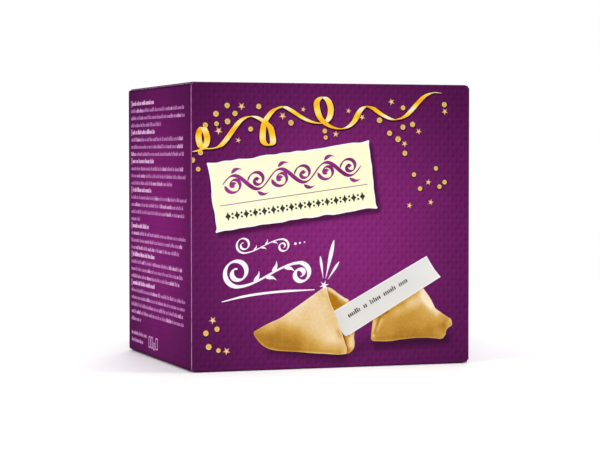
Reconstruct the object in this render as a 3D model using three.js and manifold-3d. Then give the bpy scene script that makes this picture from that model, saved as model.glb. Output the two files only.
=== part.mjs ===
// A shut tuck-end carton of fortune cookies, in millimetres, +Z up.
//
// The carton is one cut and creased blank of folding boxboard. Four panels wrap round the contents and meet
// in a glued lap at the rear right corner. At the top and at the base a closure panel, hinged on the back
// panel, lies over two dust flaps, and its front fold tucks down behind the raw edge of the front panel.
//
// Glued and tucked shut it is one closed piece, so it is one solid with the folds, raw edges, seams and
// slit locks of the board as relief on it. The front faces -Y, and the origin is the middle of the base.

import * as THREE from "three";
import { mergeVertices } from "three/addons/utils/BufferGeometryUtils.js";
import Module from "manifold-3d";

// Driving dimensions
const WIDTH = 125; // along X, outside the two side panels
const DEPTH = 105; // along Y, front face to back face
const HEIGHT = 120; // along Z, closure panel to closure panel
const BOARD = 0.5; // thickness of the boxboard
const FOLD_RADIUS = 0.8; // outside radius of a creased fold

// How the closures sit in the tube of panels
const CLOSURE_INSET = 1.4; // a closure panel's raw side edge, in from the side panel's face
const RAW_EDGE_DROP = 0.3; // the front panel's raw edge, in from the closure's outer face
const RAW_EDGE_INSET = 1.2; // each end of that raw edge, in from the side panel's face
const TUCK_GAP = 0.5; // open seam between the front panel and the tucked fold
const TUCK_SEAM_DEPTH = 1.6; // how far the seam can be seen into
const TUCK_SEAM_INSET = 1; // each end of the seam, in from the side panel's face
const SLIT_LENGTH = 9; // slit lock cut into each end of the tucked fold
const SLIT_WIDTH = 1.2;
const SLIT_DEPTH = 2 * BOARD; // through the closure panel and the dust flap's shoulder

const FOLD_STEPS = 6; // straight steps round a fold
const OVERSHOOT = 1; // a cutting tool's reach past the face it opens

// Places worked out from them
const RIGHT = WIDTH / 2;
const LEFT = -RIGHT;
const BACK = DEPTH / 2;
const FRONT = -BACK;
const TUCK_FRONT = FRONT + BOARD + TUCK_GAP;
const FLAP_TOP = HEIGHT - BOARD;

const wasm = await Module();
wasm.setup();

// A closed three.js geometry as a solid that can be joined and cut.
function solidFrom(geometry) {
  const bare = geometry.clone().deleteAttribute("normal").deleteAttribute("uv");
  const merged = mergeVertices(bare);
  return new wasm.Manifold(
    new wasm.Mesh({
      numProp: 3,
      vertProperties: merged.getAttribute("position").array,
      triVerts: new Uint32Array(merged.index.array),
    }),
  );
}

// A solid back as a three.js geometry, flat shaded as board is.
function geometryFrom(solid) {
  const mesh = solid.getMesh();
  const indexed = new THREE.BufferGeometry();
  indexed.setAttribute(
    "position",
    new THREE.BufferAttribute(new Float32Array(mesh.vertProperties), 3),
  );
  indexed.setIndex(new THREE.BufferAttribute(new Uint32Array(mesh.triVerts), 1));
  const faceted = indexed.toNonIndexed();
  faceted.computeVertexNormals();
  return faceted;
}

// A box between two corners.
function boxSolid(low, high) {
  const size = high.map((value, axis) => value - low[axis]);
  const middle = high.map((value, axis) => (value + low[axis]) / 2);
  return solidFrom(new THREE.BoxGeometry(...size).translate(...middle));
}

// One corner of an outline: a point where its radius is 0, and otherwise a quarter turn of a fold.
// A corner is [u, v, inward u, inward v, radius]; outlines run anticlockwise from their low corner.
function cornerPoints([u, v, inwardU, inwardV, radius], quarter) {
  if (radius === 0) return [new THREE.Vector2(u, v)];
  const start = Math.PI + (quarter * Math.PI) / 2;
  const fold = new THREE.ArcCurve(
    u + inwardU * radius, v + inwardV * radius, radius, start, start + Math.PI / 2,
  );
  return fold.getPoints(FOLD_STEPS);
}

// A rectangle with a radius for each corner: low low, high low, high high, low high.
function foldedRectangle([lowU, lowV], [highU, highV], radii) {
  const corners = [
    [lowU, lowV, 1, 1, radii[0]],
    [highU, lowV, -1, 1, radii[1]],
    [highU, highV, -1, -1, radii[2]],
    [lowU, highV, 1, -1, radii[3]],
  ];
  return new THREE.Shape(corners.flatMap(cornerPoints));
}

function extrude(shape, length) {
  return new THREE.ExtrudeGeometry(shape, { depth: length, bevelEnabled: false });
}

// A profile drawn in Y and Z, run along X over a width that is centred on the carton.
function alongWidth(profile, width) {
  const turned = new THREE.Matrix4().makeBasis(
    new THREE.Vector3(0, 1, 0),
    new THREE.Vector3(0, 0, 1),
    new THREE.Vector3(1, 0, 0),
  );
  return extrude(profile, width).applyMatrix4(turned).translate(-width / 2, 0, 0);
}

// The four panels seen from above, with three folds and the glued lap at the rear right. There the back
// panel's last fold lies inside the right panel, whose raw edge ends level with the start of that fold.
function tubeOutline() {
  const foldRight = RIGHT - BOARD;
  const lapEnd = BACK - FOLD_RADIUS;
  return new THREE.Shape([
    ...cornerPoints([LEFT, FRONT, 1, 1, FOLD_RADIUS], 0),
    ...cornerPoints([RIGHT, FRONT, -1, 1, FOLD_RADIUS], 1),
    new THREE.Vector2(RIGHT, lapEnd),
    ...cornerPoints([foldRight, BACK, -1, -1, FOLD_RADIUS], 2),
    ...cornerPoints([LEFT, BACK, 1, -1, FOLD_RADIUS], 3),
  ]);
}

// The tube up to the dust flaps, which turn in from the side panels over a fold.
function panelsAndDustFlaps() {
  const tube = solidFrom(extrude(tubeOutline(), HEIGHT));
  const acrossSides = foldedRectangle([LEFT, BOARD], [RIGHT, FLAP_TOP], Array(4).fill(FOLD_RADIUS));
  const sideFolds = solidFrom(extrude(acrossSides, DEPTH).rotateX(Math.PI / 2).translate(0, BACK, 0));
  const alongDepth = foldedRectangle([FRONT, BOARD], [BACK, FLAP_TOP], [0, FOLD_RADIUS, FOLD_RADIUS, 0]);
  const backFolds = solidFrom(alongWidth(alongDepth, WIDTH));
  return tube.intersect(sideFolds).intersect(backFolds);
}

// The strip that runs from the lower tuck under the base, up the back and over the top to the upper tuck.
function closureStrip() {
  const profile = foldedRectangle([TUCK_FRONT, 0], [BACK, HEIGHT], Array(4).fill(FOLD_RADIUS));
  return solidFrom(alongWidth(profile, WIDTH - 2 * CLOSURE_INSET));
}

// The front panel, whose raw edges stand up in front of the two tucked folds.
function frontPanel() {
  return boxSolid(
    [LEFT + RAW_EDGE_INSET, FRONT, RAW_EDGE_DROP],
    [RIGHT - RAW_EDGE_INSET, FRONT + BOARD, HEIGHT - RAW_EDGE_DROP],
  );
}

// Both ends of the carton are alike, so each cut is made at the top and again at the base.
function atBothEnds(low, high) {
  const mirrored = boxSolid([low[0], low[1], HEIGHT - high[2]], [high[0], high[1], HEIGHT - low[2]]);
  return boxSolid(low, high).add(mirrored);
}

// The open seam between the front panel and the tucked fold.
function tuckSeams() {
  const reach = RIGHT - TUCK_SEAM_INSET;
  return atBothEnds(
    [-reach, FRONT + BOARD, HEIGHT - TUCK_SEAM_DEPTH],
    [reach, TUCK_FRONT, HEIGHT + OVERSHOOT],
  );
}

// The slit at one end of the tucked fold, where the shoulder of a dust flap catches.
function slitLocks(side) {
  const outer = RIGHT - TUCK_SEAM_INSET;
  const ends = [side * (outer - SLIT_LENGTH), side * outer];
  return atBothEnds(
    [Math.min(...ends), TUCK_FRONT - TUCK_GAP / 2, HEIGHT - SLIT_DEPTH],
    [Math.max(...ends), TUCK_FRONT + SLIT_WIDTH, HEIGHT + OVERSHOOT],
  );
}

function cartonSolid() {
  const folded = panelsAndDustFlaps().add(closureStrip()).add(frontPanel());
  return folded.subtract(tuckSeams()).subtract(slitLocks(-1)).subtract(slitLocks(1));
}

const printedBoard = new THREE.MeshStandardMaterial({
  color: new THREE.Color(0x6c2262),
  roughness: 0.42,
  metalness: 0,
});

const carton = new THREE.Mesh(geometryFrom(cartonSolid()), printedBoard);
carton.name = "carton";

const part = new THREE.Group();
part.add(carton);

export default part;
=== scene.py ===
# %% [markdown]
# # A shut carton of fortune cookies
#
# A folding carton is one sheet of printed boxboard, creased, glued at one lap and tucked shut at both ends.
# The frame gives its true size as one plain solid. This lesson dresses it as real board: half a millimetre
# thick, with rounded folds, raw edges and open seams, and then prints it with ink that can be seen from all
# sides. Lengths are in millimetres until a mesh is put in its place, because that is how a carton maker
# draws a blank.

# %% Load the frame and take the carton's size from it
import math
import random

import bpy
import numpy as np
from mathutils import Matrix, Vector
from mathutils.geometry import delaunay_2d_cdt


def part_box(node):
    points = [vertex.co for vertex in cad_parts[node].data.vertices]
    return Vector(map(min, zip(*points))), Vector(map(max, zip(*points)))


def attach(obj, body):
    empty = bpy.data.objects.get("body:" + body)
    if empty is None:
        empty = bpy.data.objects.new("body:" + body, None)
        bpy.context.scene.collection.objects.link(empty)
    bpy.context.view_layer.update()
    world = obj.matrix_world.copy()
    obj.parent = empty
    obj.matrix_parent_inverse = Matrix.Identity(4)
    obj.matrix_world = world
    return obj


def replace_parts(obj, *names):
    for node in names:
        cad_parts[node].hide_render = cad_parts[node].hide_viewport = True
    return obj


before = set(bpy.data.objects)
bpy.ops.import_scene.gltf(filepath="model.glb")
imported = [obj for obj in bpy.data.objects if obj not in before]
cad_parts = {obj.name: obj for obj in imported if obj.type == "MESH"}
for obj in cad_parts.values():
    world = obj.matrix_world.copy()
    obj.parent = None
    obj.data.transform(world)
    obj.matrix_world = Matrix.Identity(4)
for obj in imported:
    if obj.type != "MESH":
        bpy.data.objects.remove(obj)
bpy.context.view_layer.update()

MM = 0.001
low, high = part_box("carton")
WIDTH, DEPTH, HEIGHT = (round(side / MM, 3) for side in high - low)
print(f"carton {WIDTH} x {DEPTH} x {HEIGHT} mm")

# %% [markdown]
# ## Node trees as Python expressions
#
# Both materials and Geometry Nodes are graphs. Two small classes keep them readable: `Graph.add` makes any
# node from its type, its settings and its inputs, and a `Wire` is one output socket. Sums and products of
# wires add their Math nodes, so a mask reads like the formula that it is.


# %% A graph, and wires that take part in sums
class Wire:
    """One output socket. Arithmetic on it adds Math nodes to its graph."""

    def __init__(self, graph, socket):
        self.graph, self.socket = graph, socket

    def math(self, operation, *others):
        return self.graph.add("ShaderNodeMath", {"operation": operation}, dict(enumerate((self, *others))))

    def __add__(self, other):
        return self.math("ADD", other)

    def __mul__(self, other):
        return self.math("MULTIPLY", other)

    def __sub__(self, other):
        return self.math("SUBTRACT", other)

    def __rsub__(self, other):
        return self.math("MULTIPLY_ADD", -1.0, other)

    def __truediv__(self, other):
        return self.math("DIVIDE", other)

    def __neg__(self):
        return self.math("MULTIPLY", -1.0)

    def __abs__(self):
        return self.math("ABSOLUTE")

    __radd__ = __add__
    __rmul__ = __mul__

    def least(self, other):
        return self.math("MINIMUM", other)

    def most(self, other):
        return self.math("MAXIMUM", other)

    def cosine(self):
        return self.math("COSINE")

    def step(self, start, end):
        """0 up to start, 1 from end on, and a soft slope between; start may be the higher one."""
        ends = {"Value": self, "From Min": start, "From Max": end}
        return self.graph.add("ShaderNodeMapRange", {"interpolation_type": "SMOOTHSTEP"}, ends)

    def parts(self):
        return [self.graph.add("ShaderNodeSeparateXYZ", {}, {"Vector": self}, axis) for axis in "XYZ"]


class Graph:
    """A node tree that is filled by calls to add."""

    def __init__(self, tree):
        self.tree = tree
        tree.nodes.clear()

    def add(self, kind, settings=None, inputs=None, output=0):
        node = self.tree.nodes.new(kind)
        for name, value in (settings or {}).items():
            setattr(node, name, value)
        for key, value in (inputs or {}).items():
            named = [socket for socket in node.inputs if socket.enabled and socket.name == key]
            socket = named[0] if named else node.inputs[key]
            if isinstance(value, Wire):
                self.tree.links.new(value.socket, socket)
            else:
                socket.default_value = value
        live = [socket for socket in node.outputs if socket.enabled]
        names = [socket.name for socket in live]
        return Wire(self, live[names.index(output) if isinstance(output, str) else output]) if live else node


def length(*sides):
    """The length of a vector whose sides are wires."""
    return sum(side * side for side in sides).math("SQRT")


print("graph tools ready")

# %% [markdown]
# ## Ink
#
# Printers name a colour by how it looks. `ink` turns such a colour, 0 to 255, into the linear light that
# shaders work in. A print is a thin film on satin varnished board, so every ink shares one weak gloss.

# %% Colours, ramps and the shared satin finish
SATIN_ROUGHNESS = 0.42
SATIN_GLOSS = 0.04  # the shader's specular level
SMEAR_SCALE, SMEAR = 90.0, 0.12  # the varnish is a little rougher here and smoother there
TOOTH_SCALE, TOOTH_DETAIL = 2600.0, 3.0  # the faint tooth of the board
TOOTH_DEPTH, TOOTH_STRENGTH = 0.2 * MM, 0.04
NOISE_RANGE = (0.3, 0.7)  # nearly all noise lies between these, so a step over them uses the full contrast


def ink(*levels):
    """A colour given as it looks, 0 to 255, as linear light with full alpha."""
    shares = [level / 255 for level in levels]
    linear = [share / 12.92 if share < 0.04045 else ((share + 0.055) / 1.055) ** 2.4 for share in shares]
    return (*linear, 1.0)


def ramp(value, stops):
    """A colour ramp over a wire; stops is a list of (place, colour)."""
    result = value.graph.add("ShaderNodeValToRGB", {}, {"Fac": value}, "Color")
    elements = result.socket.node.color_ramp.elements
    while len(elements) < len(stops):
        elements.new(0.5)
    for element, (place, colour) in zip(elements, stops):
        element.position, element.color = place, colour
    return result


def mix(factor, first, second, blend="MIX"):
    """Two colours mixed by a factor; at least one of the three is a wire."""
    graph = next(item.graph for item in (factor, first, second) if isinstance(item, Wire))
    inputs = {"Factor": factor, "A": first, "B": second}
    return graph.add("ShaderNodeMix", {"data_type": "RGBA", "blend_type": blend}, inputs)


def scaled(colour, amount):
    inputs = {"Vector": colour, "Scale": amount}
    return colour.graph.add("ShaderNodeVectorMath", {"operation": "SCALE"}, inputs)


def new_material(name):
    made = bpy.data.materials.new(name)
    made.use_nodes = True
    return made, Graph(made.node_tree)


def attribute(graph, name, output="Fac"):
    return graph.add("ShaderNodeAttribute", {"attribute_name": name}, {}, output)


def noise(graph, scale, detail=2.0):
    """Noise over the object in metres; scale is in features per metre."""
    place = graph.add("ShaderNodeTexCoord", {}, {}, "Object")
    return graph.add("ShaderNodeTexNoise", {}, {"Vector": place, "Scale": scale, "Detail": detail}, 0)


def varnish(graph, colour, roughness=SATIN_ROUGHNESS):
    """Ends a material as ink under satin varnish, with the faint tooth of the board in its relief."""
    tooth = noise(graph, TOOTH_SCALE, TOOTH_DETAIL)
    bump = {"Strength": TOOTH_STRENGTH, "Distance": TOOTH_DEPTH, "Height": tooth}
    relief = graph.add("ShaderNodeBump", {}, bump)
    uneven = roughness + (noise(graph, SMEAR_SCALE) - 0.5) * SMEAR
    surface = {"Base Color": colour, "Roughness": uneven, "Normal": relief, "Specular IOR Level": SATIN_GLOSS}
    shader = graph.add("ShaderNodeBsdfPrincipled", {}, surface)
    graph.add("ShaderNodeOutputMaterial", {}, {"Surface": shader})


print("inks ready")

# %% [markdown]
# ## Camera, floor and light
#
# The carton stands on a white table and is seen from its left, a little above the middle, through a long
# lens, which keeps the upright folds parallel. Saturated purple reflects almost no green, so a bright
# reflection would wash it out. The soft boxes therefore stand overhead and to the sides, out of the mirror
# directions of both printed faces. The surroundings are white for the camera alone and dim for all else, and
# the table is left out of what the varnish mirrors.

# %% Camera
CAMERA_PLACE = (-289, -851, 89)
CAMERA_LENS = 121  # focal length
CAMERA_DIP = 1.94  # degrees below the horizon
CAMERA_SWING = 18.94  # degrees round from the front, towards the left side

scene = bpy.context.scene
camera = bpy.data.objects.new("camera", bpy.data.cameras.new("camera"))
camera.data.lens = CAMERA_LENS
camera.location = Vector(CAMERA_PLACE) * MM
camera.rotation_euler = (math.radians(90 - CAMERA_DIP), 0, math.radians(-CAMERA_SWING))
scene.collection.objects.link(camera)
scene.camera = camera
scene.view_settings.view_transform = "Standard"
print("camera", camera.data.lens, "mm lens")

# %% Floor
FLOOR_RADIUS = 320
FLOOR_SIDES = 64
FLOOR_CLEARANCE = 0.2  # keeps the floor from flickering through the carton's base
FLOOR_WHITE = ink(252, 252, 252)


def make_floor():
    made, graph = new_material("white_table")
    surface = {"Base Color": FLOOR_WHITE, "Roughness": 0.9, "Specular IOR Level": 0.1}
    shader = graph.add("ShaderNodeBsdfPrincipled", {}, surface)
    graph.add("ShaderNodeOutputMaterial", {}, {"Surface": shader})
    radius, height = FLOOR_RADIUS * MM, -FLOOR_CLEARANCE * MM
    turns = np.linspace(0, 2 * math.pi, FLOOR_SIDES, endpoint=False)
    rim = [(math.cos(turn) * radius, math.sin(turn) * radius, height) for turn in turns]
    mesh = bpy.data.meshes.new("floor")
    mesh.from_pydata(rim, [], [range(FLOOR_SIDES)])
    mesh.materials.append(made)
    floor = bpy.data.objects.new("floor", mesh)
    floor.visible_glossy = False
    scene.collection.objects.link(floor)


make_floor()
print("floor of radius", FLOOR_RADIUS, "mm")

# %% Surroundings and soft boxes
SURROUND_SEEN = 1.0  # strength for the camera
SURROUND_LIGHT = 0.1  # strength for everything else
SOFT_BOXES = (  # name, place, side of the square, watts
    ("overhead", (0, -100, 1100), 900, 5.0),
    ("key_front", (-250, -1250, 700), 700, 10.0),
    ("fill_left", (-1250, -350, 650), 700, 10.5),
    ("fill_right", (1150, -450, 750), 600, 6.0),
    ("rim_back", (400, 1200, 750), 700, 10.5),
)


def make_surroundings():
    world = bpy.data.worlds.new("studio")
    world.use_nodes = True
    scene.world = world
    graph = Graph(world.node_tree)
    seen = graph.add("ShaderNodeLightPath", {}, {}, "Is Camera Ray")
    strength = SURROUND_LIGHT + seen * (SURROUND_SEEN - SURROUND_LIGHT)
    sky = graph.add("ShaderNodeBackground", {}, {"Color": (1, 1, 1, 1), "Strength": strength})
    graph.add("ShaderNodeOutputWorld", {}, {"Surface": sky})


def softbox(name, place, size, power):
    """A square light that faces the middle of the carton."""
    light = bpy.data.lights.new(name, "AREA")
    light.size, light.energy = size * MM, power
    lamp = bpy.data.objects.new(name, light)
    lamp.location = Vector(place) * MM
    aim = Vector((0, 0, HEIGHT / 2)) * MM - lamp.location
    lamp.rotation_euler = aim.to_track_quat("-Z", "Y").to_euler()
    scene.collection.objects.link(lamp)


make_surroundings()
for box_light in SOFT_BOXES:
    softbox(*box_light)
print(len(SOFT_BOXES), "soft boxes")

# %% [markdown]
# ## Where things go on the carton
#
# A blank's artwork is drawn flat, panel by panel: u runs to the right, v runs up, and h is the height above
# the printed face. Six panel frames turn such drawings into place. A shut carton's panels also give a
# little: they bow inwards between their folds. One displacement, worked out from where a point lies, moves
# board and ink together, so nothing comes apart.

# %% The six panels and their gentle bow
INK_ROOM = 0.12  # board lies this far inside the carton's outer faces, so that the ink isn't proud of them
SAG = 0.3  # greatest inward bow of a panel
BOW_DEPTH = 6.0  # what lies this deep under a face no longer follows its bow
BOW_CORE = 1.2  # down to here all of it follows

X_FACE = WIDTH / 2 - INK_ROOM
Y_FACE = DEPTH / 2 - INK_ROOM
TOP_FACE = HEIGHT - INK_ROOM
MID_HEIGHT = HEIGHT / 2


class Panel:
    """A face of the carton: u to the right from its middle, and v up, as someone facing it sees it."""

    def __init__(self, origin, right, up, span, rise, middle=0, free_ends=False):
        self.origin, self.right, self.up = (np.array(given, float) for given in (origin, right, up))
        self.out = np.cross(self.right, self.up)
        self.span, self.rise, self.middle, self.free_ends = span, rise, middle, free_ends

    def place(self, points):
        """Drawing points (u, v, h) as points on the carton."""
        u, v, h = np.asarray(points, float).T
        return self.origin + np.outer(u, self.right) + np.outer(v, self.up) + np.outer(h, self.out)

    def read(self, points):
        """The drawing places (u, v, h) of points on the carton."""
        away = np.asarray(points, float) - self.origin
        return np.stack([away @ self.right, away @ self.up, away @ self.out], 1)

    def bow(self, points):
        """How far each point moves inwards as the panel gives; free ends bow as much as the middle."""
        u, v, h = self.read(points).T
        across = np.clip(1 - (2 * u / self.span) ** 2, 0, 1)
        along = 1.0 if self.free_ends else np.clip(1 - (2 * (v - self.middle) / self.rise) ** 2, 0, 1)
        follows = np.clip((BOW_DEPTH + h) / (BOW_DEPTH - BOW_CORE), 0, 1)
        return np.outer(-SAG * across * along * follows, self.out)


PANELS = {
    "front": Panel((0, -Y_FACE, 0), (1, 0, 0), (0, 0, 1), WIDTH, HEIGHT, MID_HEIGHT, free_ends=True),
    "back": Panel((0, Y_FACE, 0), (-1, 0, 0), (0, 0, 1), WIDTH, HEIGHT, MID_HEIGHT),
    "left": Panel((-X_FACE, 0, 0), (0, -1, 0), (0, 0, 1), DEPTH, HEIGHT, MID_HEIGHT),
    "right": Panel((X_FACE, 0, 0), (0, 1, 0), (0, 0, 1), DEPTH, HEIGHT, MID_HEIGHT),
    "top": Panel((0, 0, TOP_FACE), (1, 0, 0), (0, 1, 0), WIDTH, DEPTH),
    "base": Panel((0, 0, 0), (1, 0, 0), (0, -1, 0), WIDTH, DEPTH),
}


def settle(points):
    """Points on the carton, moved with the bow of every panel near them."""
    return points + sum(panel.bow(points) for panel in PANELS.values())


print(len(PANELS), "panels")

# %% Meshes in and out of numpy, and pieces that ride on the carton
FLAT_ANGLE = math.radians(35)  # a fold's steps are smooth, a raw edge is sharp
PRINT_MARGIN = 0.7  # from a panel's edge to where print plates end, just on the fold


def points_of(mesh):
    points = np.empty(len(mesh.vertices) * 3)
    mesh.vertices.foreach_get("co", points)
    return points.reshape(-1, 3)


def set_points(mesh, points):
    mesh.vertices.foreach_set("co", np.asarray(points, float).ravel())
    mesh.update()


def store(mesh, name, values):
    """Keeps one number, or one vector, for each point of a mesh."""
    values = np.asarray(values, np.float32)
    kind, key = ("FLOAT", "value") if values.ndim == 1 else ("FLOAT_VECTOR", "vector")
    mesh.attributes.new(name, kind, "POINT").data.foreach_set(key, values.ravel())


def publish(name, mesh):
    """Makes a finished mesh a piece of the carton, and returns it."""
    mesh.name = name
    mesh.shade_smooth()
    mesh.set_sharp_from_angle(angle=FLAT_ANGLE)
    piece = bpy.data.objects.new(name, mesh)
    scene.collection.objects.link(piece)
    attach(piece, "root")
    print(f"{name}: {sum(len(face.vertices) - 2 for face in mesh.polygons)} triangles")
    return piece


def press(name, mesh, panel):
    """Prints a flat drawing, in u, v and h, on a panel; what would reach round its folds is cut off there."""
    points = points_of(mesh)
    reach = PANELS[panel].span / 2 - PRINT_MARGIN
    points[:, 0] = np.clip(points[:, 0], -reach, reach)
    set_points(mesh, settle(PANELS[panel].place(points)) * MM)
    publish(name, mesh)


print("mesh tools ready")

# %% [markdown]
# ## Purple print
#
# The print is a violet that is brightest in the middle of each face and darkens towards the folds. A fine
# lattice of darker dots lies on it, crossed by two faint slanting waves, so that it looks like twill cloth.
# Each fold shows a pale line: partly ink that cracks where board is folded, partly a painted highlight where
# the fold catches the light. Cut edges and the inside are bare board.
# The boards carry two values for this: `drawn`, their place on the panel's drawing, and `across`, which is 1
# on the printed face and -1 inside.

# %% Purple print
DOT_PITCH = (1.94, 2.415)
DOT_DEPTH = 0.22
DOT_MEAN = 0.25  # what the dots average to over the lattice, from 0 to 1
TWILL = 0.062  # every other dot is paler, row by row, as the threads of cloth cross over and under
TWILL_BACK = 0.028  # the weaker slant the other way
VIOLET_LIFT = 1.02
CLOUD_SCALE, CLOUD_DETAIL, CLOUD = 60.0, 4.0, 0.1  # slow changes of the ink over a panel
MOTTLE_SCALE, MOTTLE = 450.0, 0.2  # quick ones
FOLD_RADIUS = 0.8
# The pale line on each fold is cracked ink together with a painted highlight where the fold catches the
# light.
CRACK_AND_HIGHLIGHT_BAND = (0.38, 0.5)  # how far out of both flats the pale line of cracked ink and painted highlight starts, and is at full strength
CRACK_AND_HIGHLIGHT_SCALE, CRACK_AND_HIGHLIGHT_LEAST, CRACK_AND_HIGHLIGHT_PATCHES = 400.0, 0.55, 0.35
CRACK_AND_HIGHLIGHT_RANGE = (0.3, 0.6)  # of the noise that makes the pale line of cracked ink and painted highlight patchy
FIBRE_SCALE, FIBRE_DETAIL = 900.0, 4.0
PURPLES = [
    (0.00, ink(126, 37, 111)),
    (0.22, ink(121, 35, 106)),
    (0.38, ink(113, 32, 100)),
    (0.52, ink(101, 28, 90)),
    (0.67, ink(90, 23, 81)),
    (0.97, ink(70, 15, 62)),
]
EDGE_OF_FACE = 0.67  # the ramp's place at the middle of a fold
# Pale pink of the folds: cracked ink and a painted highlight.
FOLD_CRACK_AND_HIGHLIGHT = ink(188, 120, 180)
BARE_BOARD = ink(218, 210, 196)
BARE_FIBRE = ink(188, 178, 162)
CUT_EDGE = ink(112, 74, 104)
BARE_BELOW = (-0.99, -0.9)  # `across` where the bare inside ends and the cut edge begins
PRINT_ABOVE = (0.93, 0.99)  # `across` where the cut edge ends and the print begins


def second_largest(a, b, c):
    """The middle one of three wires."""
    return a.least(b).most(b.least(c)).most(a.least(c))


def purple_print(name, panel, marks=None, darkening=EDGE_OF_FACE, folded_ends=True):
    """The violet print for a panel; marks(u, v, colour) may add what is printed on the violet."""
    made, graph = new_material(name)
    size = PANELS[panel]
    u, v, _ = attribute(graph, "drawn", "Vector").parts()
    out_from_middle = length(u * (2 / size.span), (v - size.middle) * (2 / size.rise))
    colour = ramp(out_from_middle * darkening, PURPLES)
    warp, weft = (place * (2 * math.pi / pitch) for place, pitch in zip((u, v), DOT_PITCH))
    dots = (1 + warp.cosine()) * (1 + weft.cosine()) * 0.25
    slant = ((warp - weft) * 0.5).cosine() * TWILL
    slant_back = ((warp + weft) * 0.5 - math.pi / 2).cosine() * TWILL_BACK
    cloud = (noise(graph, CLOUD_SCALE, CLOUD_DETAIL) - 0.5) * CLOUD
    mottle = (noise(graph, MOTTLE_SCALE) - 0.5) * MOTTLE
    flat = VIOLET_LIFT + DOT_DEPTH * DOT_MEAN
    colour = scaled(colour, flat - dots * DOT_DEPTH + (slant + slant_back) + (cloud + mottle))
    if marks:
        colour = marks(u, v, colour)
    x, y, z = graph.add("ShaderNodeTexCoord", {}, {}, "Object").parts()
    reach_x = abs(x) * (1 / MM) - (X_FACE - FOLD_RADIUS)
    reach_y = abs(y) * (1 / MM) - (Y_FACE - FOLD_RADIUS)
    reach_z = abs(z * (1 / MM) - TOP_FACE / 2) - (TOP_FACE / 2 - FOLD_RADIUS)
    folds = second_largest(reach_x, reach_y, reach_z) if folded_ends else reach_x.least(reach_y)
    # Each fold gets a patchy pale line: cracked ink, and a painted highlight where the fold catches the
    # light.
    patchy = CRACK_AND_HIGHLIGHT_LEAST + noise(graph, CRACK_AND_HIGHLIGHT_SCALE).step(*CRACK_AND_HIGHLIGHT_RANGE) * CRACK_AND_HIGHLIGHT_PATCHES
    colour = mix(folds.step(*CRACK_AND_HIGHLIGHT_BAND) * patchy, colour, FOLD_CRACK_AND_HIGHLIGHT)
    fibres = mix(noise(graph, FIBRE_SCALE, FIBRE_DETAIL), BARE_BOARD, BARE_FIBRE)
    side = attribute(graph, "across")
    unprinted = mix(side.step(*BARE_BELOW), fibres, CUT_EDGE)
    varnish(graph, mix(side.step(*PRINT_ABOVE), unprinted, colour))
    return made


print("purple ready")

# %% [markdown]
# ## Folded boards
#
# Each board is a strip of constant thickness that follows a path with rounded folds, which is just what a
# sweep does. A node tree turns a path into a curve and runs the board's cross-section along it. The section's
# own place is kept as `across` before the sweep, so the printed face stays known round every fold. The blank
# is made as four walls, two closures and four dust flaps, split where the board is straight: the splits
# can't be seen, and each wall keeps sharp print when it is baked.


# %% Tree: a board swept along its folds
def new_tree(name, inputs):
    """A geometry tree with named inputs: (name, socket type, default)."""
    tree = bpy.data.node_groups.new(name, "GeometryNodeTree")
    tree.interface.new_socket("Geometry", in_out="INPUT", socket_type="NodeSocketGeometry")
    tree.interface.new_socket("Geometry", in_out="OUTPUT", socket_type="NodeSocketGeometry")
    for label, kind, value in inputs:
        socket = tree.interface.new_socket(label, in_out="INPUT", socket_type=f"NodeSocket{kind}")
        if value is not None:
            socket.default_value = value
    graph = Graph(tree)
    labels = ["Geometry"] + [label for label, _, _ in inputs]
    entry = graph.add("NodeGroupInput").socket.node
    return tree, graph, {label: Wire(graph, entry.outputs[label]) for label in labels}


def end_tree(graph, geometry, material):
    """Ends a tree in plain geometry with its material."""
    real = graph.add("GeometryNodeRealizeInstances", {}, {"Geometry": geometry})
    painted = graph.add("GeometryNodeSetMaterial", {}, {"Geometry": real, "Material": material})
    graph.add("NodeGroupOutput", {}, {"Geometry": painted})


def keep(graph, geometry, name, value, kind="FLOAT"):
    """Stores a value on each point under a name."""
    inputs = {"Geometry": geometry, "Name": name, "Value": value}
    return graph.add("GeometryNodeStoreNamedAttribute", {"data_type": kind}, inputs)


BOARD = 0.5  # thickness


def board_tree():
    tree, graph, given = new_tree("folded_board", [
        ("Thickness", "Float", BOARD), ("Breadth", "Float", WIDTH),
        ("Cuts", "Int", 20), ("Ink", "Material", None),
    ])
    path = graph.add("GeometryNodeMeshToCurve", {}, {"Mesh": given["Geometry"]})
    path = graph.add("GeometryNodeSetCurveNormal", {"mode": "Z_UP"}, {"Curve": path})
    size = {"Width": given["Thickness"], "Height": given["Breadth"]}
    section = graph.add("GeometryNodeCurvePrimitiveQuadrilateral", {}, size)
    side = graph.add("GeometryNodeInputPosition").parts()[0] / given["Thickness"] * 2
    section = keep(graph, section, "across", side)
    section = graph.add("GeometryNodeSubdivideCurve", {}, {"Curve": section, "Cuts": given["Cuts"]})
    swept = {"Curve": path, "Profile Curve": section, "Fill Caps": True}
    end_tree(graph, graph.add("GeometryNodeCurveToMesh", {}, swept), given["Ink"])
    return tree


def grow(tree, source, inputs):
    """Runs a tree on a mesh, with inputs by name, and returns the plain mesh that it makes."""
    carrier = bpy.data.objects.new("carrier", source)
    scene.collection.objects.link(carrier)
    modifier = carrier.modifiers.new("tree", "NODES")
    modifier.node_group = tree
    for item in tree.interface.items_tree:
        if item.in_out == "INPUT" and item.name in inputs:
            modifier[item.identifier] = inputs[item.name]
    whole = carrier.evaluated_get(bpy.context.evaluated_depsgraph_get())
    mesh = bpy.data.meshes.new_from_object(whole)
    carrier.modifiers.clear()
    bpy.data.objects.remove(carrier)
    return mesh


BOARD_TREE = board_tree()
print("board tree:", len(BOARD_TREE.nodes), "nodes")

# %% A path with rounded folds
FOLD_STEPS = 6
STATION = 4.0  # greatest step along a board
FIRST_STEP = 0.4  # a long run starts and ends with a short step, so that corners can be cut steeply
SAME_PLACE = 1e-6  # points closer than this are one
HALF_BOARD = BOARD / 2


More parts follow.
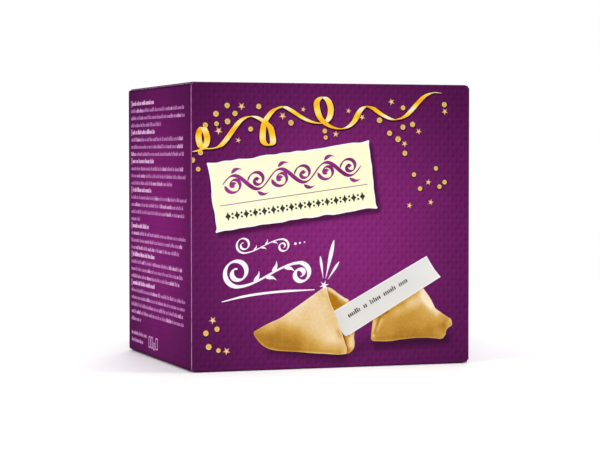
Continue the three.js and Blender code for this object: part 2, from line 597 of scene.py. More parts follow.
def folded_path(corners):
    """The middle line of a board through its corners, each one a rounded fold."""
    corners = [np.array(corner, float) for corner in corners]
    radius = FOLD_RADIUS - HALF_BOARD
    path = [corners[0]]
    for before, corner, after in zip(corners, corners[1:], corners[2:]):
        into = (corner - before) / np.linalg.norm(corner - before)
        away = (after - corner) / np.linalg.norm(after - corner)
        half_turn = math.acos(np.clip(into @ away, -1, 1)) / 2
        centre = corner + (away - into) / np.linalg.norm(away - into) * radius / math.cos(half_turn)
        side = np.sign(into[0] * away[1] - into[1] * away[0])
        start = corner - into * radius * math.tan(half_turn) - centre
        for turn in np.linspace(0, 2 * half_turn * side, FOLD_STEPS + 1):
            cos, sin = math.cos(turn), math.sin(turn)
            path.append(centre + (cos * start[0] - sin * start[1], sin * start[0] + cos * start[1]))
    path.append(corners[-1])
    return path


def stations(path):
    """The same path with its long runs cut into short steps."""
    line = [path[0]]
    for start, end in zip(path, path[1:]):
        run = np.linalg.norm(end - start)
        steps = max(1, math.ceil(run / STATION))
        shares = list(np.linspace(0, 1, steps + 1)[1:])
        if steps > 1:
            shares = [FIRST_STEP / run, *shares[:-1], 1 - FIRST_STEP / run, 1]
        line += [start + (end - start) * share for share in shares]
    further = [point for last, point in zip(line, line[1:]) if np.linalg.norm(point - last) > SAME_PLACE]
    return [line[0], *further]


def line_mesh(points):
    mesh = bpy.data.meshes.new("line")
    mesh.from_pydata([(*point, 0) for point in points], [(end - 1, end) for end in range(1, len(points))], [])
    return mesh


def board(name, path, low, high, axes, panel, material, slot="purple_print", trim=None, cut=None):
    """A board along a path, with its printed face to the right of the way the path runs.

    axes are the carton's axes of the path's two directions and of the board's breadth, low to high.
    """
    breadth = high - low
    inputs = {"Thickness": BOARD, "Breadth": float(breadth), "Cuts": int(breadth // STATION), "Ink": material}
    mesh = grow(BOARD_TREE, line_mesh(stations(folded_path(path))), inputs)
    local = points_of(mesh) + (0, 0, (low + high) / 2)
    points = local @ np.array(axes, float)
    set_points(mesh, trim(points) if trim else points)
    if cut:
        mesh = cut(mesh)
    points = points_of(mesh)
    store(mesh, "drawn", PANELS[panel].read(points) * (1, 1, 0))
    set_points(mesh, settle(points) * MM)
    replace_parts(publish(name, mesh), "carton")


print("board maker ready")

# %% [markdown]
# ## Walls
#
# The front wall carries both front folds, the back wall both rear folds and the glued lap, which ends under
# the right wall. The front wall's upper and lower edges are raw: they stand almost as high as the closures.
# At its ends, and on the other walls, the board stops lower, where the hinges and dust flaps begin.

# %% Heights and insets of the boards
RAW_DROP = 0.3  # the front wall's raw edge, below the closure's outer face
FLAP_DROP = BOARD  # a dust flap's face, below the closure's outer face
CLOSURE_INSET = 1.28  # a closure's raw side edge, in from the side wall's face
TUCK_GAP = 0.5
HINGE_DROP = FOLD_RADIUS
SIDE_DROP = FLAP_DROP + FOLD_RADIUS
WRAP = FOLD_RADIUS + 1.0  # how far a wall runs on past its fold
LAP = 15.0  # how far the back wall's glued lap reaches under the right wall
LAP_CLEARANCE = 0.05

X_MID = X_FACE - HALF_BOARD
Y_MID = Y_FACE - HALF_BOARD
UPRIGHT = ((1, 0, 0), (0, 1, 0), (0, 0, 1))


def wall_trim(middle_drop, middle_reach):
    """Gives a wall its full height between +-middle_reach, and the side walls' lower height beyond."""

    def trim(points):
        ends = np.isclose(points[:, 2], points[:, 2].min()) | np.isclose(points[:, 2], points[:, 2].max())
        beyond = np.abs(points[:, 0]) > middle_reach + FIRST_STEP / 2
        drop = middle_drop + (SIDE_DROP - middle_drop) * beyond
        upper = points[:, 2] > MID_HEIGHT
        points[ends, 2] = np.where(upper, TOP_FACE - drop, drop)[ends]
        return points

    return trim


print("walls", TOP_FACE - 2 * SIDE_DROP, "mm high at their ends")

# %% What is printed in the violet itself
LABEL_CENTRE = (-17.8, 76.75)
LABEL_SIZE = (71.5, 28.4)
LABEL_TILT = math.radians(7.6)
PRINT_SHADOW = ink(50, 14, 46)
SHADOW_SHIFT = (1.3, -1.5)
SHADOW_INSET = 1
LABEL_SHADOW_FADE = (3.0, 0.4)  # from the label's edge: none from here on, and full up to here
LABEL_SHADOW = 0.75
COOKIE_SHADOWS = (  # start, end, full up to here, none from here on, amount
    ((-26, 9.5), (4, 5.2), 0.5, 6.0, 0.8),
    ((6, 6.5), (20, 10.5), 0.2, 6.0, 0.45),
    ((20, 9.5), (51, 10.8), 0.5, 5.0, 0.8),
)
BLANK_FIELD = (74, 46)  # the pale field on the base, where a packer stamps a date
BLANK_PALE = ink(236, 232, 222)
BLANK_EDGE = 0.15
SIDE_PURITY = (1.04, 0.54, 1.03, 1.0)  # what the side's violet is multiplied by


def label_shadow(u, v):
    """The dark edge that the label seems to throw down and to the right."""
    du, dv = u - (LABEL_CENTRE[0] + SHADOW_SHIFT[0]), v - (LABEL_CENTRE[1] + SHADOW_SHIFT[1])
    cos, sin = math.cos(LABEL_TILT), math.sin(LABEL_TILT)
    along = abs(du * cos + dv * sin) - (LABEL_SIZE[0] / 2 - SHADOW_INSET)
    upward = abs(dv * cos - du * sin) - (LABEL_SIZE[1] / 2 - SHADOW_INSET)
    outside = length(along.most(0.0), upward.most(0.0))
    return outside.step(*LABEL_SHADOW_FADE) * LABEL_SHADOW


def strip_shadow(u, v, start, end, near, far):
    """A soft bar of shadow round the line from start to end."""
    run = (end[0] - start[0], end[1] - start[1])
    square = run[0] ** 2 + run[1] ** 2
    share = ((u - start[0]) * (run[0] / square) + (v - start[1]) * (run[1] / square)).most(0.0).least(1.0)
    return length(u - start[0] - share * run[0], v - start[1] - share * run[1]).step(far, near)


def show_marks(u, v, colour):
    """Soft shadows under the label and along the foot of the cookie's halves."""
    shadow = label_shadow(u, v)
    for start, end, near, far, amount in COOKIE_SHADOWS:
        shadow = shadow.most(strip_shadow(u, v, start, end, near, far) * amount)
    return mix(shadow, colour, PRINT_SHADOW)


def base_marks(u, v, colour):
    outside = (abs(u) - BLANK_FIELD[0] / 2).most(abs(v) - BLANK_FIELD[1] / 2)
    return mix(outside.step(BLANK_EDGE, -BLANK_EDGE), colour, BLANK_PALE)


def side_marks(u, v, colour):
    """The varnish glares on a side, which is seen at a shallow angle, so its violet is laid on purer."""
    return mix(1.0, colour, SIDE_PURITY, "MULTIPLY")


SHOW_PURPLE = purple_print("purple_show_face", "front", show_marks, folded_ends=False)
BACK_PURPLE = purple_print("purple_back_face", "back", show_marks)
SIDE_PURPLE = purple_print("purple_side_face", "left", side_marks, darkening=0.6)
END_PURPLE = purple_print("purple_end_face", "top")
BASE_PURPLE = purple_print("purple_base_face", "base", base_marks)

print("marks ready for the front, the base and the sides")

# %% Four walls
RAW_INSET = 1.2  # each end of a front or back wall's full height, in from the side wall's face


def make_walls():
    wrap_y = Y_MID - WRAP + HALF_BOARD
    front = [(-X_MID, -wrap_y), (-X_MID, -Y_MID), (X_MID, -Y_MID), (X_MID, -wrap_y)]
    lap_x = X_MID - BOARD - LAP_CLEARANCE
    back = [(lap_x, Y_MID - LAP), (lap_x, Y_MID), (-X_MID, Y_MID), (-X_MID, wrap_y)]
    left = [(-X_MID, wrap_y), (-X_MID, -wrap_y)]
    right = [(X_MID, -wrap_y), (X_MID, Y_FACE - FOLD_RADIUS)]
    heights = (SIDE_DROP, TOP_FACE - SIDE_DROP)
    front_trim, back_trim = (wall_trim(drop, X_FACE - RAW_INSET) for drop in (RAW_DROP, HINGE_DROP))
    board("front_wall", front, *heights, UPRIGHT, "front", SHOW_PURPLE, trim=front_trim)
    board("back_wall", back, *heights, UPRIGHT, "back", BACK_PURPLE, trim=back_trim)
    board("left_wall", left, *heights, UPRIGHT, "left", SIDE_PURPLE)
    board("right_wall", right, *heights, UPRIGHT, "right", SIDE_PURPLE)


make_walls()

# %% [markdown]
# ## Closures and dust flaps
#
# Each closure hinges on the back wall, lies over the two dust flaps and tucks down behind the front wall. At
# both ends of its front fold a slit is cut, where the shoulder of a dust flap catches and locks the tuck. The
# slits are cut by a Boolean. It leaves new points without an `across` value, so these take the value of the
# nearest point of the board's section, and only the cut faces between both sides show bare board.
# The lower closure is the upper one turned over, so one drawing serves both.

# %% Slit locks
SLIT_LENGTH = 9.0
SLIT_WIDTH = 1.2
KNIFE_ROOM = 1.0  # how far the cutting box stands out past what it cuts
TUCK_FACE = Y_FACE - BOARD - TUCK_GAP
CLOSURE_REACH = X_FACE - CLOSURE_INSET


def box_mesh(low, high):
    corners = [(x, y, z) for x in (low[0], high[0]) for y in (low[1], high[1]) for z in (low[2], high[2])]
    faces = [(0, 1, 3, 2), (4, 6, 7, 5), (0, 4, 5, 1), (2, 3, 7, 6), (0, 2, 6, 4), (1, 5, 7, 3)]
    mesh = bpy.data.meshes.new("box")
    mesh.from_pydata(corners, [], faces)
    return mesh


def restore_across(mesh, known_points, known_across):
    """Gives each point the value of the nearest known point of the board's section."""
    sections = points_of(mesh)[:, 1:]
    nearest = [np.argmin(((known_points[:, 1:] - section) ** 2).sum(1)) for section in sections]
    mesh.attributes["across"].data.foreach_set("value", known_across[nearest].astype(np.float32))


def slit_cutter(heights):
    """Cuts both slit locks of a closure out of a mesh."""

    def cut(mesh):
        known_points, known_across = points_of(mesh), np.empty(len(mesh.vertices))
        mesh.attributes["across"].data.foreach_get("value", known_across)
        for side in (-1, 1):
            reach = sorted((side * (CLOSURE_REACH - SLIT_LENGTH), side * (CLOSURE_REACH + KNIFE_ROOM)))
            low = (reach[0], -TUCK_FACE - KNIFE_ROOM, heights[0])
            high = (reach[1], -TUCK_FACE + SLIT_WIDTH, heights[1])
            target = bpy.data.objects.new("target", mesh)
            knife = bpy.data.objects.new("knife", box_mesh(low, high))
            for thing in (target, knife):
                scene.collection.objects.link(thing)
            boolean = target.modifiers.new("slit", "BOOLEAN")
            boolean.operation, boolean.solver, boolean.object = "DIFFERENCE", "EXACT", knife
            whole = target.evaluated_get(bpy.context.evaluated_depsgraph_get())
            mesh = bpy.data.meshes.new_from_object(whole)
            for thing in (target, knife):
                bpy.data.objects.remove(thing)
        restore_across(mesh, known_points, known_across)
        return mesh

    return cut


print("slits", SLIT_LENGTH, "x", SLIT_WIDTH, "mm")

# %% Closures
TUCK_DEPTH = 18.0
FROM_THE_SIDE = ((0, 1, 0), (0, 0, 1), (1, 0, 0))


def make_closures():
    tuck_y = -(TUCK_FACE - HALF_BOARD)
    for panel, face, inward, violet in (("top", TOP_FACE, -1, END_PURPLE), ("base", 0, 1, BASE_PURPLE)):
        lid_z = face + inward * HALF_BOARD
        hinge, tuck_end = face + inward * HINGE_DROP, face + inward * TUCK_DEPTH
        path = [(Y_MID, hinge), (Y_MID, lid_z), (tuck_y, lid_z), (tuck_y, tuck_end)]
        if inward > 0:
            path.reverse()
        cut = slit_cutter(sorted((face - inward * KNIFE_ROOM, face + inward * 2 * BOARD)))
        board(f"{panel}_closure", path, -CLOSURE_REACH, CLOSURE_REACH, FROM_THE_SIDE, panel, violet, cut=cut)


make_closures()

# %% Dust flaps
FLAP_REACH = 36  # how far a flap reaches in from the side wall's face
FLAP_DROOP = 0.6  # how far its free end hangs
FLAP_FRONT_INSET, FLAP_BACK_INSET = 1.6, 0.7
FROM_THE_FRONT = ((1, 0, 0), (0, 0, 1), (0, -1, 0))


def make_dust_flaps():
    inner_x = X_FACE - FLAP_REACH
    breadth = (-(Y_FACE - FLAP_BACK_INSET), Y_FACE - FLAP_FRONT_INSET)
    for side_name, side in (("left", -1), ("right", 1)):
        for end_name, panel, face, inward in (("upper", "top", TOP_FACE, -1), ("lower", "base", 0, 1)):
            flat_z = face + inward * (FLAP_DROP + HALF_BOARD)
            hinge = (side * X_MID, face + inward * SIDE_DROP)
            path = [hinge, (side * X_MID, flat_z), (side * inner_x, flat_z + inward * FLAP_DROOP)]
            if side * inward > 0:
                path.reverse()
            name = f"dust_flap_{end_name}_{side_name}"
            board(name, path, *breadth, FROM_THE_FRONT, panel, END_PURPLE, "raw_board")


make_dust_flaps()

# %% [markdown]
# ## Drawing with outlines
#
# What is printed over the violet is modelled as very thin plates, a few hundredths of a millimetre thick, so
# that each colour keeps a crisp edge at any distance. An outline is a few smooth stretches that meet at
# sharp corners. Triangles fill it through a constrained Delaunay mesh, with extra points inside where the
# colour has to shade from place to place.

# %% Smooth lines, and measures on outlines
PRINT_STEP = 0.7


def smooth_line(points, step=PRINT_STEP):
    """A Catmull-Rom curve through points; beyond u and v they may carry more values."""
    points = np.asarray(points, float)
    padded = np.vstack([2 * points[0] - points[1], points, 2 * points[-1] - points[-2]])
    line = []
    for before, start, end, after in zip(padded, padded[1:], padded[2:], padded[3:]):
        count = max(1, math.ceil(np.linalg.norm((end - start)[:2]) / step))
        t = np.linspace(0, 1, count + 1)[:-1, None]
        bend = 2 * before - 5 * start + 4 * end - after
        twist = 3 * start - before - 3 * end + after
        line.append(start + ((end - before) * t + bend * t**2 + twist * t**3) / 2)
    return np.vstack([*line, points[-1]])


def outline(*stretches):
    """A closed outline of smooth stretches that meet at sharp corners."""
    return np.vstack([smooth_line(stretch)[:-1] for stretch in stretches])


def inside(points, loop):
    """Which points lie inside a closed outline."""
    u, v = points.T
    hits = np.zeros(len(points), bool)
    for (u0, v0), (u1, v1) in zip(loop, np.roll(loop, -1, 0)):
        if v0 != v1:
            hits ^= ((v0 > v) != (v1 > v)) & (u < u0 + (v - v0) * (u1 - u0) / (v1 - v0))
    return hits


def distance_to(points, line):
    """The distance of each point from a line of points."""
    line = np.asarray(line, float)
    nearest = np.full(len(points), np.inf)
    for start, end in zip(line, line[1:]):
        run = end - start
        share = np.clip((points - start) @ run / (run @ run), 0, 1)
        nearest = np.minimum(nearest, np.linalg.norm(points - start - np.outer(share, run), axis=1))
    return nearest


print("outline tools ready")

# %% Plates
SINK = 0.03  # plates reach this far into the board, so that no light shows under them
ROW_HEIGHT = 0.866  # of a triangle grid whose points are 1 apart
EDGE_ROOM = 0.5  # grid points keep this share of their distance from the outline
ONLY_INSIDE = 1  # the Delaunay output that drops what lies outside the outline
MERGE_BELOW = 1e-5


def grid_inside(loop, grid):
    """Staggered points inside an outline, a distance of grid apart."""
    (u0, v0), (u1, v1) = loop.min(0), loop.max(0)
    rows = [
        (u + (row % 2) * grid / 2, v)
        for row, v in enumerate(np.arange(v0, v1, grid * ROW_HEIGHT))
        for u in np.arange(u0, u1, grid)
    ]
    rows = np.array(rows)
    rows = rows[inside(rows, loop)]
    return rows[distance_to(rows, closed(loop)) > grid * EDGE_ROOM]


def closed(loop):
    """An outline with its first point again at its end."""
    return np.vstack([loop, loop[:1]])


def double_area(triangle):
    """Twice the area of a triangle, below zero where it runs clockwise."""
    (u0, v0), (u1, v1), (u2, v2) = triangle
    return (u1 - u0) * (v2 - v0) - (u2 - u0) * (v1 - v0)


def plate(name, loop, lift, grid):
    """A closed plate with its face at height lift, whose triangles are about as large as grid."""
    points = [Vector(point) for point in np.vstack([loop, grid_inside(loop, grid)])]
    filled = delaunay_2d_cdt(points, [], [range(len(loop))], ONLY_INSIDE, MERGE_BELOW)
    flat = np.array(filled[0])
    fronts = [face if double_area(flat[face]) > 0 else face[::-1] for face in map(list, filled[2])]
    count = len(flat)
    edges = {(face[i], face[(i + 1) % 3]) for face in fronts for i in range(3)}
    walls = [(a + count, b + count, b, a) for a, b in sorted(edges) if (b, a) not in edges]
    backs = [[point + count for point in face[::-1]] for face in fronts]
    solid = np.column_stack([np.vstack([flat, flat]), np.repeat((lift, -SINK), count)])
    mesh = bpy.data.meshes.new(name)
    mesh.from_pydata(solid.tolist(), [], fronts + walls + backs)
    return mesh


def turned(points, centre, angle):
    """Drawing points turned about the origin and moved to a centre; further values stay."""
    points = np.array(points, float)
    cos, sin = math.cos(angle), math.sin(angle)
    u, v = points[:, 0].copy(), points[:, 1].copy()
    points[:, 0] = centre[0] + u * cos - v * sin
    points[:, 1] = centre[1] + u * sin + v * cos
    return points


print("plates ready")

# %% [markdown]
# ## The label
#
# A cream card with a torn edge lies across the upper left, tilted up to the right. The tear is a small seeded
# wobble of the outline, with corners that flare. Close to the edge the cream runs out into white paper.

# %% Cream label
LABEL_LIFT = 0.07
LABEL_GRID = 1.6
LABEL_SEED = 11
LABEL_ROUGHNESS = 0.5
TEAR, TEAR_PITCH = 0.28, 3.2
TEAR_SHARES = (0.05, 0.96)  # the part of a side that wobbles
CORNER_FLARE, FLARE_SHARE = 0.45, 0.012  # a corner's flare ends this far along a side
FLARE_END = 0.6  # the share of the flare that is left there
TORN_BAND = (0.1, 0.7)  # in from the edge, where the white of the tear turns to cream
TORN_WHITE = ink(253, 248, 246)
CREAMS = (ink(249, 243, 204), ink(247, 241, 211))
CREAM_SCALE, CREAM_DETAIL = 35.0, 4.0  # the slow drift between them


def label_outline():
    """A rectangle with torn sides, in the label's own directions."""
    draw_tear = random.Random(LABEL_SEED)
    half = np.array(LABEL_SIZE) / 2
    corners = half * [(-1, -1), (1, -1), (1, 1), (-1, 1)]
    sides = []
    for start, end in zip(corners, np.roll(corners, -1, 0)):
        run = end - start
        outward = np.array((run[1], -run[0])) / np.linalg.norm(run)
        middle = np.arange(*TEAR_SHARES, TEAR_PITCH / np.linalg.norm(run))
        shares = [0, FLARE_SHARE, *middle, 1 - FLARE_SHARE, 1]
        tear = [CORNER_FLARE if share in (0, 1) else draw_tear.uniform(-TEAR, TEAR) for share in shares]
        tear[1] = tear[-2] = CORNER_FLARE * FLARE_END
        sides.append([start + run * share + outward * out for share, out in zip(shares, tear)])
    return outline(*[[*side, following[0]] for side, following in zip(sides, sides[1:] + sides[:1])])


def cream_paper():
    made, graph = new_material("cream_label")
    body = mix(noise(graph, CREAM_SCALE, CREAM_DETAIL).step(*NOISE_RANGE), *CREAMS)
    varnish(graph, mix(attribute(graph, "shade").step(*TORN_BAND), TORN_WHITE, body), LABEL_ROUGHNESS)
    return made


def make_label(panel):
    loop = turned(label_outline(), LABEL_CENTRE, LABEL_TILT)
    mesh = plate(f"label_{panel}", loop, LABEL_LIFT, LABEL_GRID)
    store(mesh, "shade", distance_to(points_of(mesh)[:, :2], closed(loop)))
    mesh.materials.append(CREAM)
    press(f"label_{panel}", mesh, panel)


CREAM = cream_paper()
for panel in ("front", "back"):
    make_label(panel)

# %% [markdown]
# ## Pen strokes
#
# The ribbon and the scrollwork are lines of changing breadth, as a broad pen gives. The nib is a slim ellipse
# held at a fixed angle, so the line is broad where it runs across the nib and thin where it runs with it, and
# its two edges lean a little along the run. One node tree draws such lines, and the even rule and the leaves
# as well: it sweeps a flat section along each, scaled by the width kept on its points, moves the edges by the
# lean kept there, and sets the face to the height kept there. Where a line crosses itself, the higher strand
# is on top.


# %% Tree: a flat stroke along a line
def named(graph, name, kind="FLOAT"):
    return graph.add("GeometryNodeInputNamedAttribute", {"data_type": kind}, {"Name": name})


def combine(graph, x, y, z):
    return graph.add("ShaderNodeCombineXYZ", {}, {"X": x, "Y": y, "Z": z})


def pen_tree():
    inputs = [("Step", "Float", 0.4), ("Sink", "Float", SINK), ("Ink", "Material", None)]
    tree, graph, given = new_tree("pen_stroke", inputs)
    line = graph.add("GeometryNodeMeshToCurve", {}, {"Mesh": given["Geometry"]})
    line = graph.add("GeometryNodeCurveSplineType", {"spline_type": "CATMULL_ROM"}, {"Curve": line})
    resampled = {"Curve": line, "Length": given["Step"]}
    line = graph.add("GeometryNodeResampleCurve", {"mode": "LENGTH"}, resampled)
    line = graph.add("GeometryNodeSetCurveNormal", {"mode": "Z_UP"}, {"Curve": line})
    line = keep(graph, line, "heading", graph.add("GeometryNodeInputTangent"), "FLOAT_VECTOR")
    line = keep(graph, line, "along", graph.add("GeometryNodeSplineParameter", {}, {}, "Length"))
    section = graph.add("GeometryNodeCurvePrimitiveQuadrilateral", {}, {"Width": 1.0, "Height": 1.0})
    section = keep(graph, section, "across", graph.add("GeometryNodeInputPosition").parts()[0] * 2)
    swept = {"Curve": line, "Profile Curve": section, "Scale": named(graph, "width"), "Fill Caps": True}
    stroke = graph.add("GeometryNodeCurveToMesh", {}, swept)
    u, v, h = graph.add("GeometryNodeInputPosition").parts()
    height = h.math("GREATER_THAN", 0.0) * (named(graph, "lift") + given["Sink"]) - given["Sink"]
    lean = named(graph, "lean") * named(graph, "across")
    heading_u, heading_v, _ = named(graph, "heading", "FLOAT_VECTOR").parts()
    place = combine(graph, u + heading_u * lean, v + heading_v * lean, height)
    stroke = graph.add("GeometryNodeSetPosition", {}, {"Geometry": stroke, "Position": place})
    end_tree(graph, stroke, given["Ink"])
    return tree


PEN_TREE = pen_tree()


def stroke_source(strokes):
    """Lines as a mesh; each point is u, v, width, lean, shade, lift."""
    mesh = bpy.data.meshes.new("strokes")
    points, edges = [], []
    for stroke in strokes:
        edges += [(len(points) + step, len(points) + step + 1) for step in range(len(stroke) - 1)]
        points += [list(point) for point in stroke]
    points = np.array(points, float)
    mesh.from_pydata([(u, v, 0) for u, v in points[:, :2]], edges, [])
    for column, name in enumerate(("width", "lean", "shade", "lift"), 2):
        store(mesh, name, points[:, column])
    return mesh


def draw(name, strokes, panel, material, step=0.4):
    """Draws strokes on a panel as one piece, with a section of the line at every step."""
    mesh = grow(PEN_TREE, stroke_source(strokes), {"Step": step, "Ink": material})
    press(name, mesh, panel)


print("pen tree:", len(PEN_TREE.nodes), "nodes")

# %% The broad nib
POINTED = 0.15  # share of the nib's breadth that is left at the very end of a tapered stroke
MID_SHADE = 0.5  # for inks that don't read a shade


def pen(places, long, short, angle, taper=0.0, shade=MID_SHADE, lift=0.1):
    """The stroke that an elliptic nib leaves along a line: u, v, width, lean, shade, lift."""
    places = np.asarray(places, float)
    run = np.gradient(places, axis=0)
    heading = run / np.linalg.norm(run, axis=1)[:, None]
    right = np.column_stack([heading[:, 1], -heading[:, 0]])
    cos, sin = math.cos(angle), math.sin(angle)
    turn = np.array([(cos, -sin), (sin, cos)])
    nib = turn @ np.diag([long**2, short**2]) @ turn.T / 4
    reach = np.sqrt(np.einsum("ni,ij,nj->n", right, nib, right))
    lean = np.einsum("ni,ij,nj->n", heading, nib, right) / reach
    steps = np.append(0, np.cumsum(np.linalg.norm(np.diff(places, axis=0), axis=1)))
    thin = 1.0
    if taper:
        from_end = np.minimum(steps, steps[-1] - steps)
        thin = POINTED + (1 - POINTED) * np.sqrt(np.clip(from_end / taper, 0, 1))
    shades, lifts = np.full(len(places), shade), np.full(len(places), lift)
    return np.column_stack([places, 2 * reach * thin, lean * thin, shades, lifts])


print("nib ready")

# %% [markdown]
# ## The ribbon
#
# A paper streamer runs across the top of the show face. It curls as it falls, so it is broad on its slopes
# and thin at its crests, just as a nib held nearly level draws it. Its colour turns from deep gold through
# yellow to pale cream as it turns to the light. A route gives its place, a few gleams along it say where it
# faces the light, and a short list names the stretches that cross on top. Satin streaks run along it, so
# their noise is stretched along the run. The same stroke in dark ink, shifted and broader, is its shadow.

# %% Gold ribbon
RIBBON_ROUTE = [
    (-61.75, 91.3), (-60.2, 91.3), (-56.5, 92.9), (-55.4, 96.9), (-57.2, 101.1), (-58.9, 98.8), (-58.8, 95.2),
    (-57.1, 92.5), (-51.2, 92.8), (-47.8, 95.3), (-41.1, 103.8), (-36.1, 105.75), (-32.2, 104.6),
    (-28.9, 102.3), (-27.6, 100.3), (-26.8, 94.9), (-29.0, 93.8), (-31.2, 95.9), (-30.6, 102.8),
    (-27.2, 107.8), (-24.2, 109.4), (-21.1, 109.6), (-13.3, 105.1), (-8.4, 103.3), (-4.0, 103.3),
    (-1.8, 105.5), (-1.2, 109.2), (-2.5, 112.7), (-5.0, 114.0), (-7.4, 111.8), (-6.7, 106.9), (-4.6, 103.8),
    (-1.6, 101.8), (2.5, 100.75), (6.3, 101.4), (9.4, 104.0), (11.2, 107.3), (13.7, 110.0), (17.3, 109.8),
    (21.6, 107.0), (26.6, 104.8), (30.5, 105.3), (33.7, 107.1), (38.6, 112.3), (41.8, 115.1), (45.5, 116.4),
    (49.4, 116.1),
]
RIBBON_TONE = 0.27
RIBBON_GLEAMS = [  # place along the ribbon, reach and amount; those below zero are shades
    (0.5, 1.8, 0.55), (6.8, 2.0, 0.6), (13.4, 1.4, 0.65), (16.8, 1.2, -0.15), (20.9, 1.8, 0.55),
    (28.2, 2.0, 0.5), (35.6, 2.4, 0.6), (45.3, 2.2, 0.65), (53.4, 3.2, 0.8), (66.4, 2.0, 0.65),
    (75.0, 1.8, 0.55), (83.2, 2.0, 0.6), (93.5, 2.9, 0.8), (103.2, 2.7, 0.65), (114.2, 3.2, 0.7),
    (119.8, 2.0, 0.15), (124.4, 2.4, 0.8), (132.8, 2.0, 0.4), (150.2, 2.2, 0.75), (153.8, 1.6, 0.2),
    (159.4, 2.0, 0.75), (163.2, 1.0, -0.2), (172.8, 3.1, 0.8), (177.2, 1.0, -0.25), (185.6, 2.5, 0.75),
    (191.0, 1.8, -0.12), (199.5, 4.2, 0.8),
]
STRANDS_ON_TOP = ((4.7, 14.0), (52.3, 67.9), (131.2, 140.3))  # stretches along the ribbon
STRAND_SLOPE = 1.0  # how far along a strand rises or sinks to its height
STRAND_UNDER, STRAND_OVER = 0.065, 0.1
RIBBON_BREADTH, RIBBON_THICKNESS, RIBBON_SLANT = 2.65, 0.38, math.radians(4)
RIBBON_TAPER, RIBBON_TIP = 6.5, 0.08  # where the right end starts to taper, and the share left at its tip
RIBBON_TAPER_BULGE = 0.8  # below 1 the taper is full and then quick
RIBBON_SHADE_SHIFT, RIBBON_SHADE_GROWTH = (0.12, -0.22), 1.0
RIBBON_SHADE_LIFT = 0.02
RIBBON_ROUGHNESS = 0.35
RIBBON_STEP = 0.4
RIBBON_CONTRAST = 0.96  # how much of its tone shows
STREAKS_ACROSS, STREAKS_ALONG, STREAKS = 1.6, 0.22, 0.5
RIBBON_EDGE, RIBBON_EDGE_SHADE = (0.6, 1.0), 0.1  # the outer part of its breadth is a touch darker
GOLDS = [  # from shade to light
    (0.0, ink(230, 146, 26)), (0.15, ink(240, 164, 34)), (0.3, ink(244, 184, 46)), (0.42, ink(247, 203, 62)),
    (0.6, ink(246, 209, 96)), (0.78, ink(246, 215, 132)), (0.9, ink(250, 226, 176)),
    (1.0, ink(252, 233, 216)),
]
WIDTH_AND_LEAN, LIFT_COLUMN = slice(2, 4), 5  # columns of a stroke
DRIFT_SCALE, DRIFT_DETAIL, DRIFT_RANGE = 120.0, 4.0, (0.25, 0.75)  # of a flat ink between its two tones


def ribbon_gold():
    made, graph = new_material("gold_ribbon")
    shade, across, along = (attribute(graph, name) for name in ("shade", "across", "along"))
    streak_place = combine(graph, across * STREAKS_ACROSS, along * STREAKS_ALONG, 0.0)
    streak_noise = {"Vector": streak_place, "Scale": 2.0, "Detail": 2.0}
    streaks = graph.add("ShaderNodeTexNoise", {}, streak_noise, "Fac")
    edge = abs(across).step(*RIBBON_EDGE) * RIBBON_EDGE_SHADE
    lit = shade * RIBBON_CONTRAST + (streaks - 0.5) * STREAKS - edge
    varnish(graph, ramp(lit, GOLDS), RIBBON_ROUGHNESS)
    return made


def flat_ink(name, first, second):
    """A printed solid colour, which in truth drifts a little between two tones."""
    made, graph = new_material(name)
    varnish(graph, mix(noise(graph, DRIFT_SCALE, DRIFT_DETAIL).step(*DRIFT_RANGE), first, second))
    return made


def make_ribbon(panel):
    line = smooth_line(RIBBON_ROUTE, RIBBON_STEP)
    along = np.append(0, np.cumsum(np.linalg.norm(np.diff(line, axis=0), axis=1)))
    gleams = [amount * np.exp(-(((along - place) / reach) ** 2)) for place, reach, amount in RIBBON_GLEAMS]
    light = np.clip(RIBBON_TONE + sum(gleams), 0, 1)
    on_top = sum(
        np.interp(along, (start - STRAND_SLOPE, start, end, end + STRAND_SLOPE), (0, 1, 1, 0))
        for start, end in STRANDS_ON_TOP
    )
    lift = STRAND_UNDER + (STRAND_OVER - STRAND_UNDER) * on_top
    stroke = pen(line, RIBBON_BREADTH, RIBBON_THICKNESS, RIBBON_SLANT, shade=light, lift=lift)
    from_tip = np.clip((line[-1, 0] - line[:, 0]) / RIBBON_TAPER, 0.0, 1.0) ** RIBBON_TAPER_BULGE
    stroke[:, WIDTH_AND_LEAN] *= (RIBBON_TIP + (1 - RIBBON_TIP) * from_tip)[:, None]
    shadow = stroke + (*RIBBON_SHADE_SHIFT, RIBBON_SHADE_GROWTH, 0, 0, 0)
    shadow[:, LIFT_COLUMN] = RIBBON_SHADE_LIFT
    draw(f"ribbon_shadow_{panel}", [shadow], panel, SHADOW_INK)
    draw(f"ribbon_{panel}", [stroke], panel, RIBBON_GOLD)


RIBBON_GOLD = ribbon_gold()
SHADOW_INK = flat_ink("shadow_ink", ink(50, 8, 40), ink(60, 12, 48))
for panel in ("front", "back"):
    make_ribbon(panel)

# %% [markdown]
# ## Confetti
#
# Gold discs and small stars lie round the ribbon, each over a slightly larger dark shape that rims it. They
# are one shape each, repeated, so a tree stamps them on points that carry their size and turn. The star
# primitive serves for both: with its inner and outer radius alike it is a disc. On the lid, where nothing
# else is printed, the points are scattered by a seeded draw that keeps them apart. A second tree stamps
# bars, which the small print needs later.


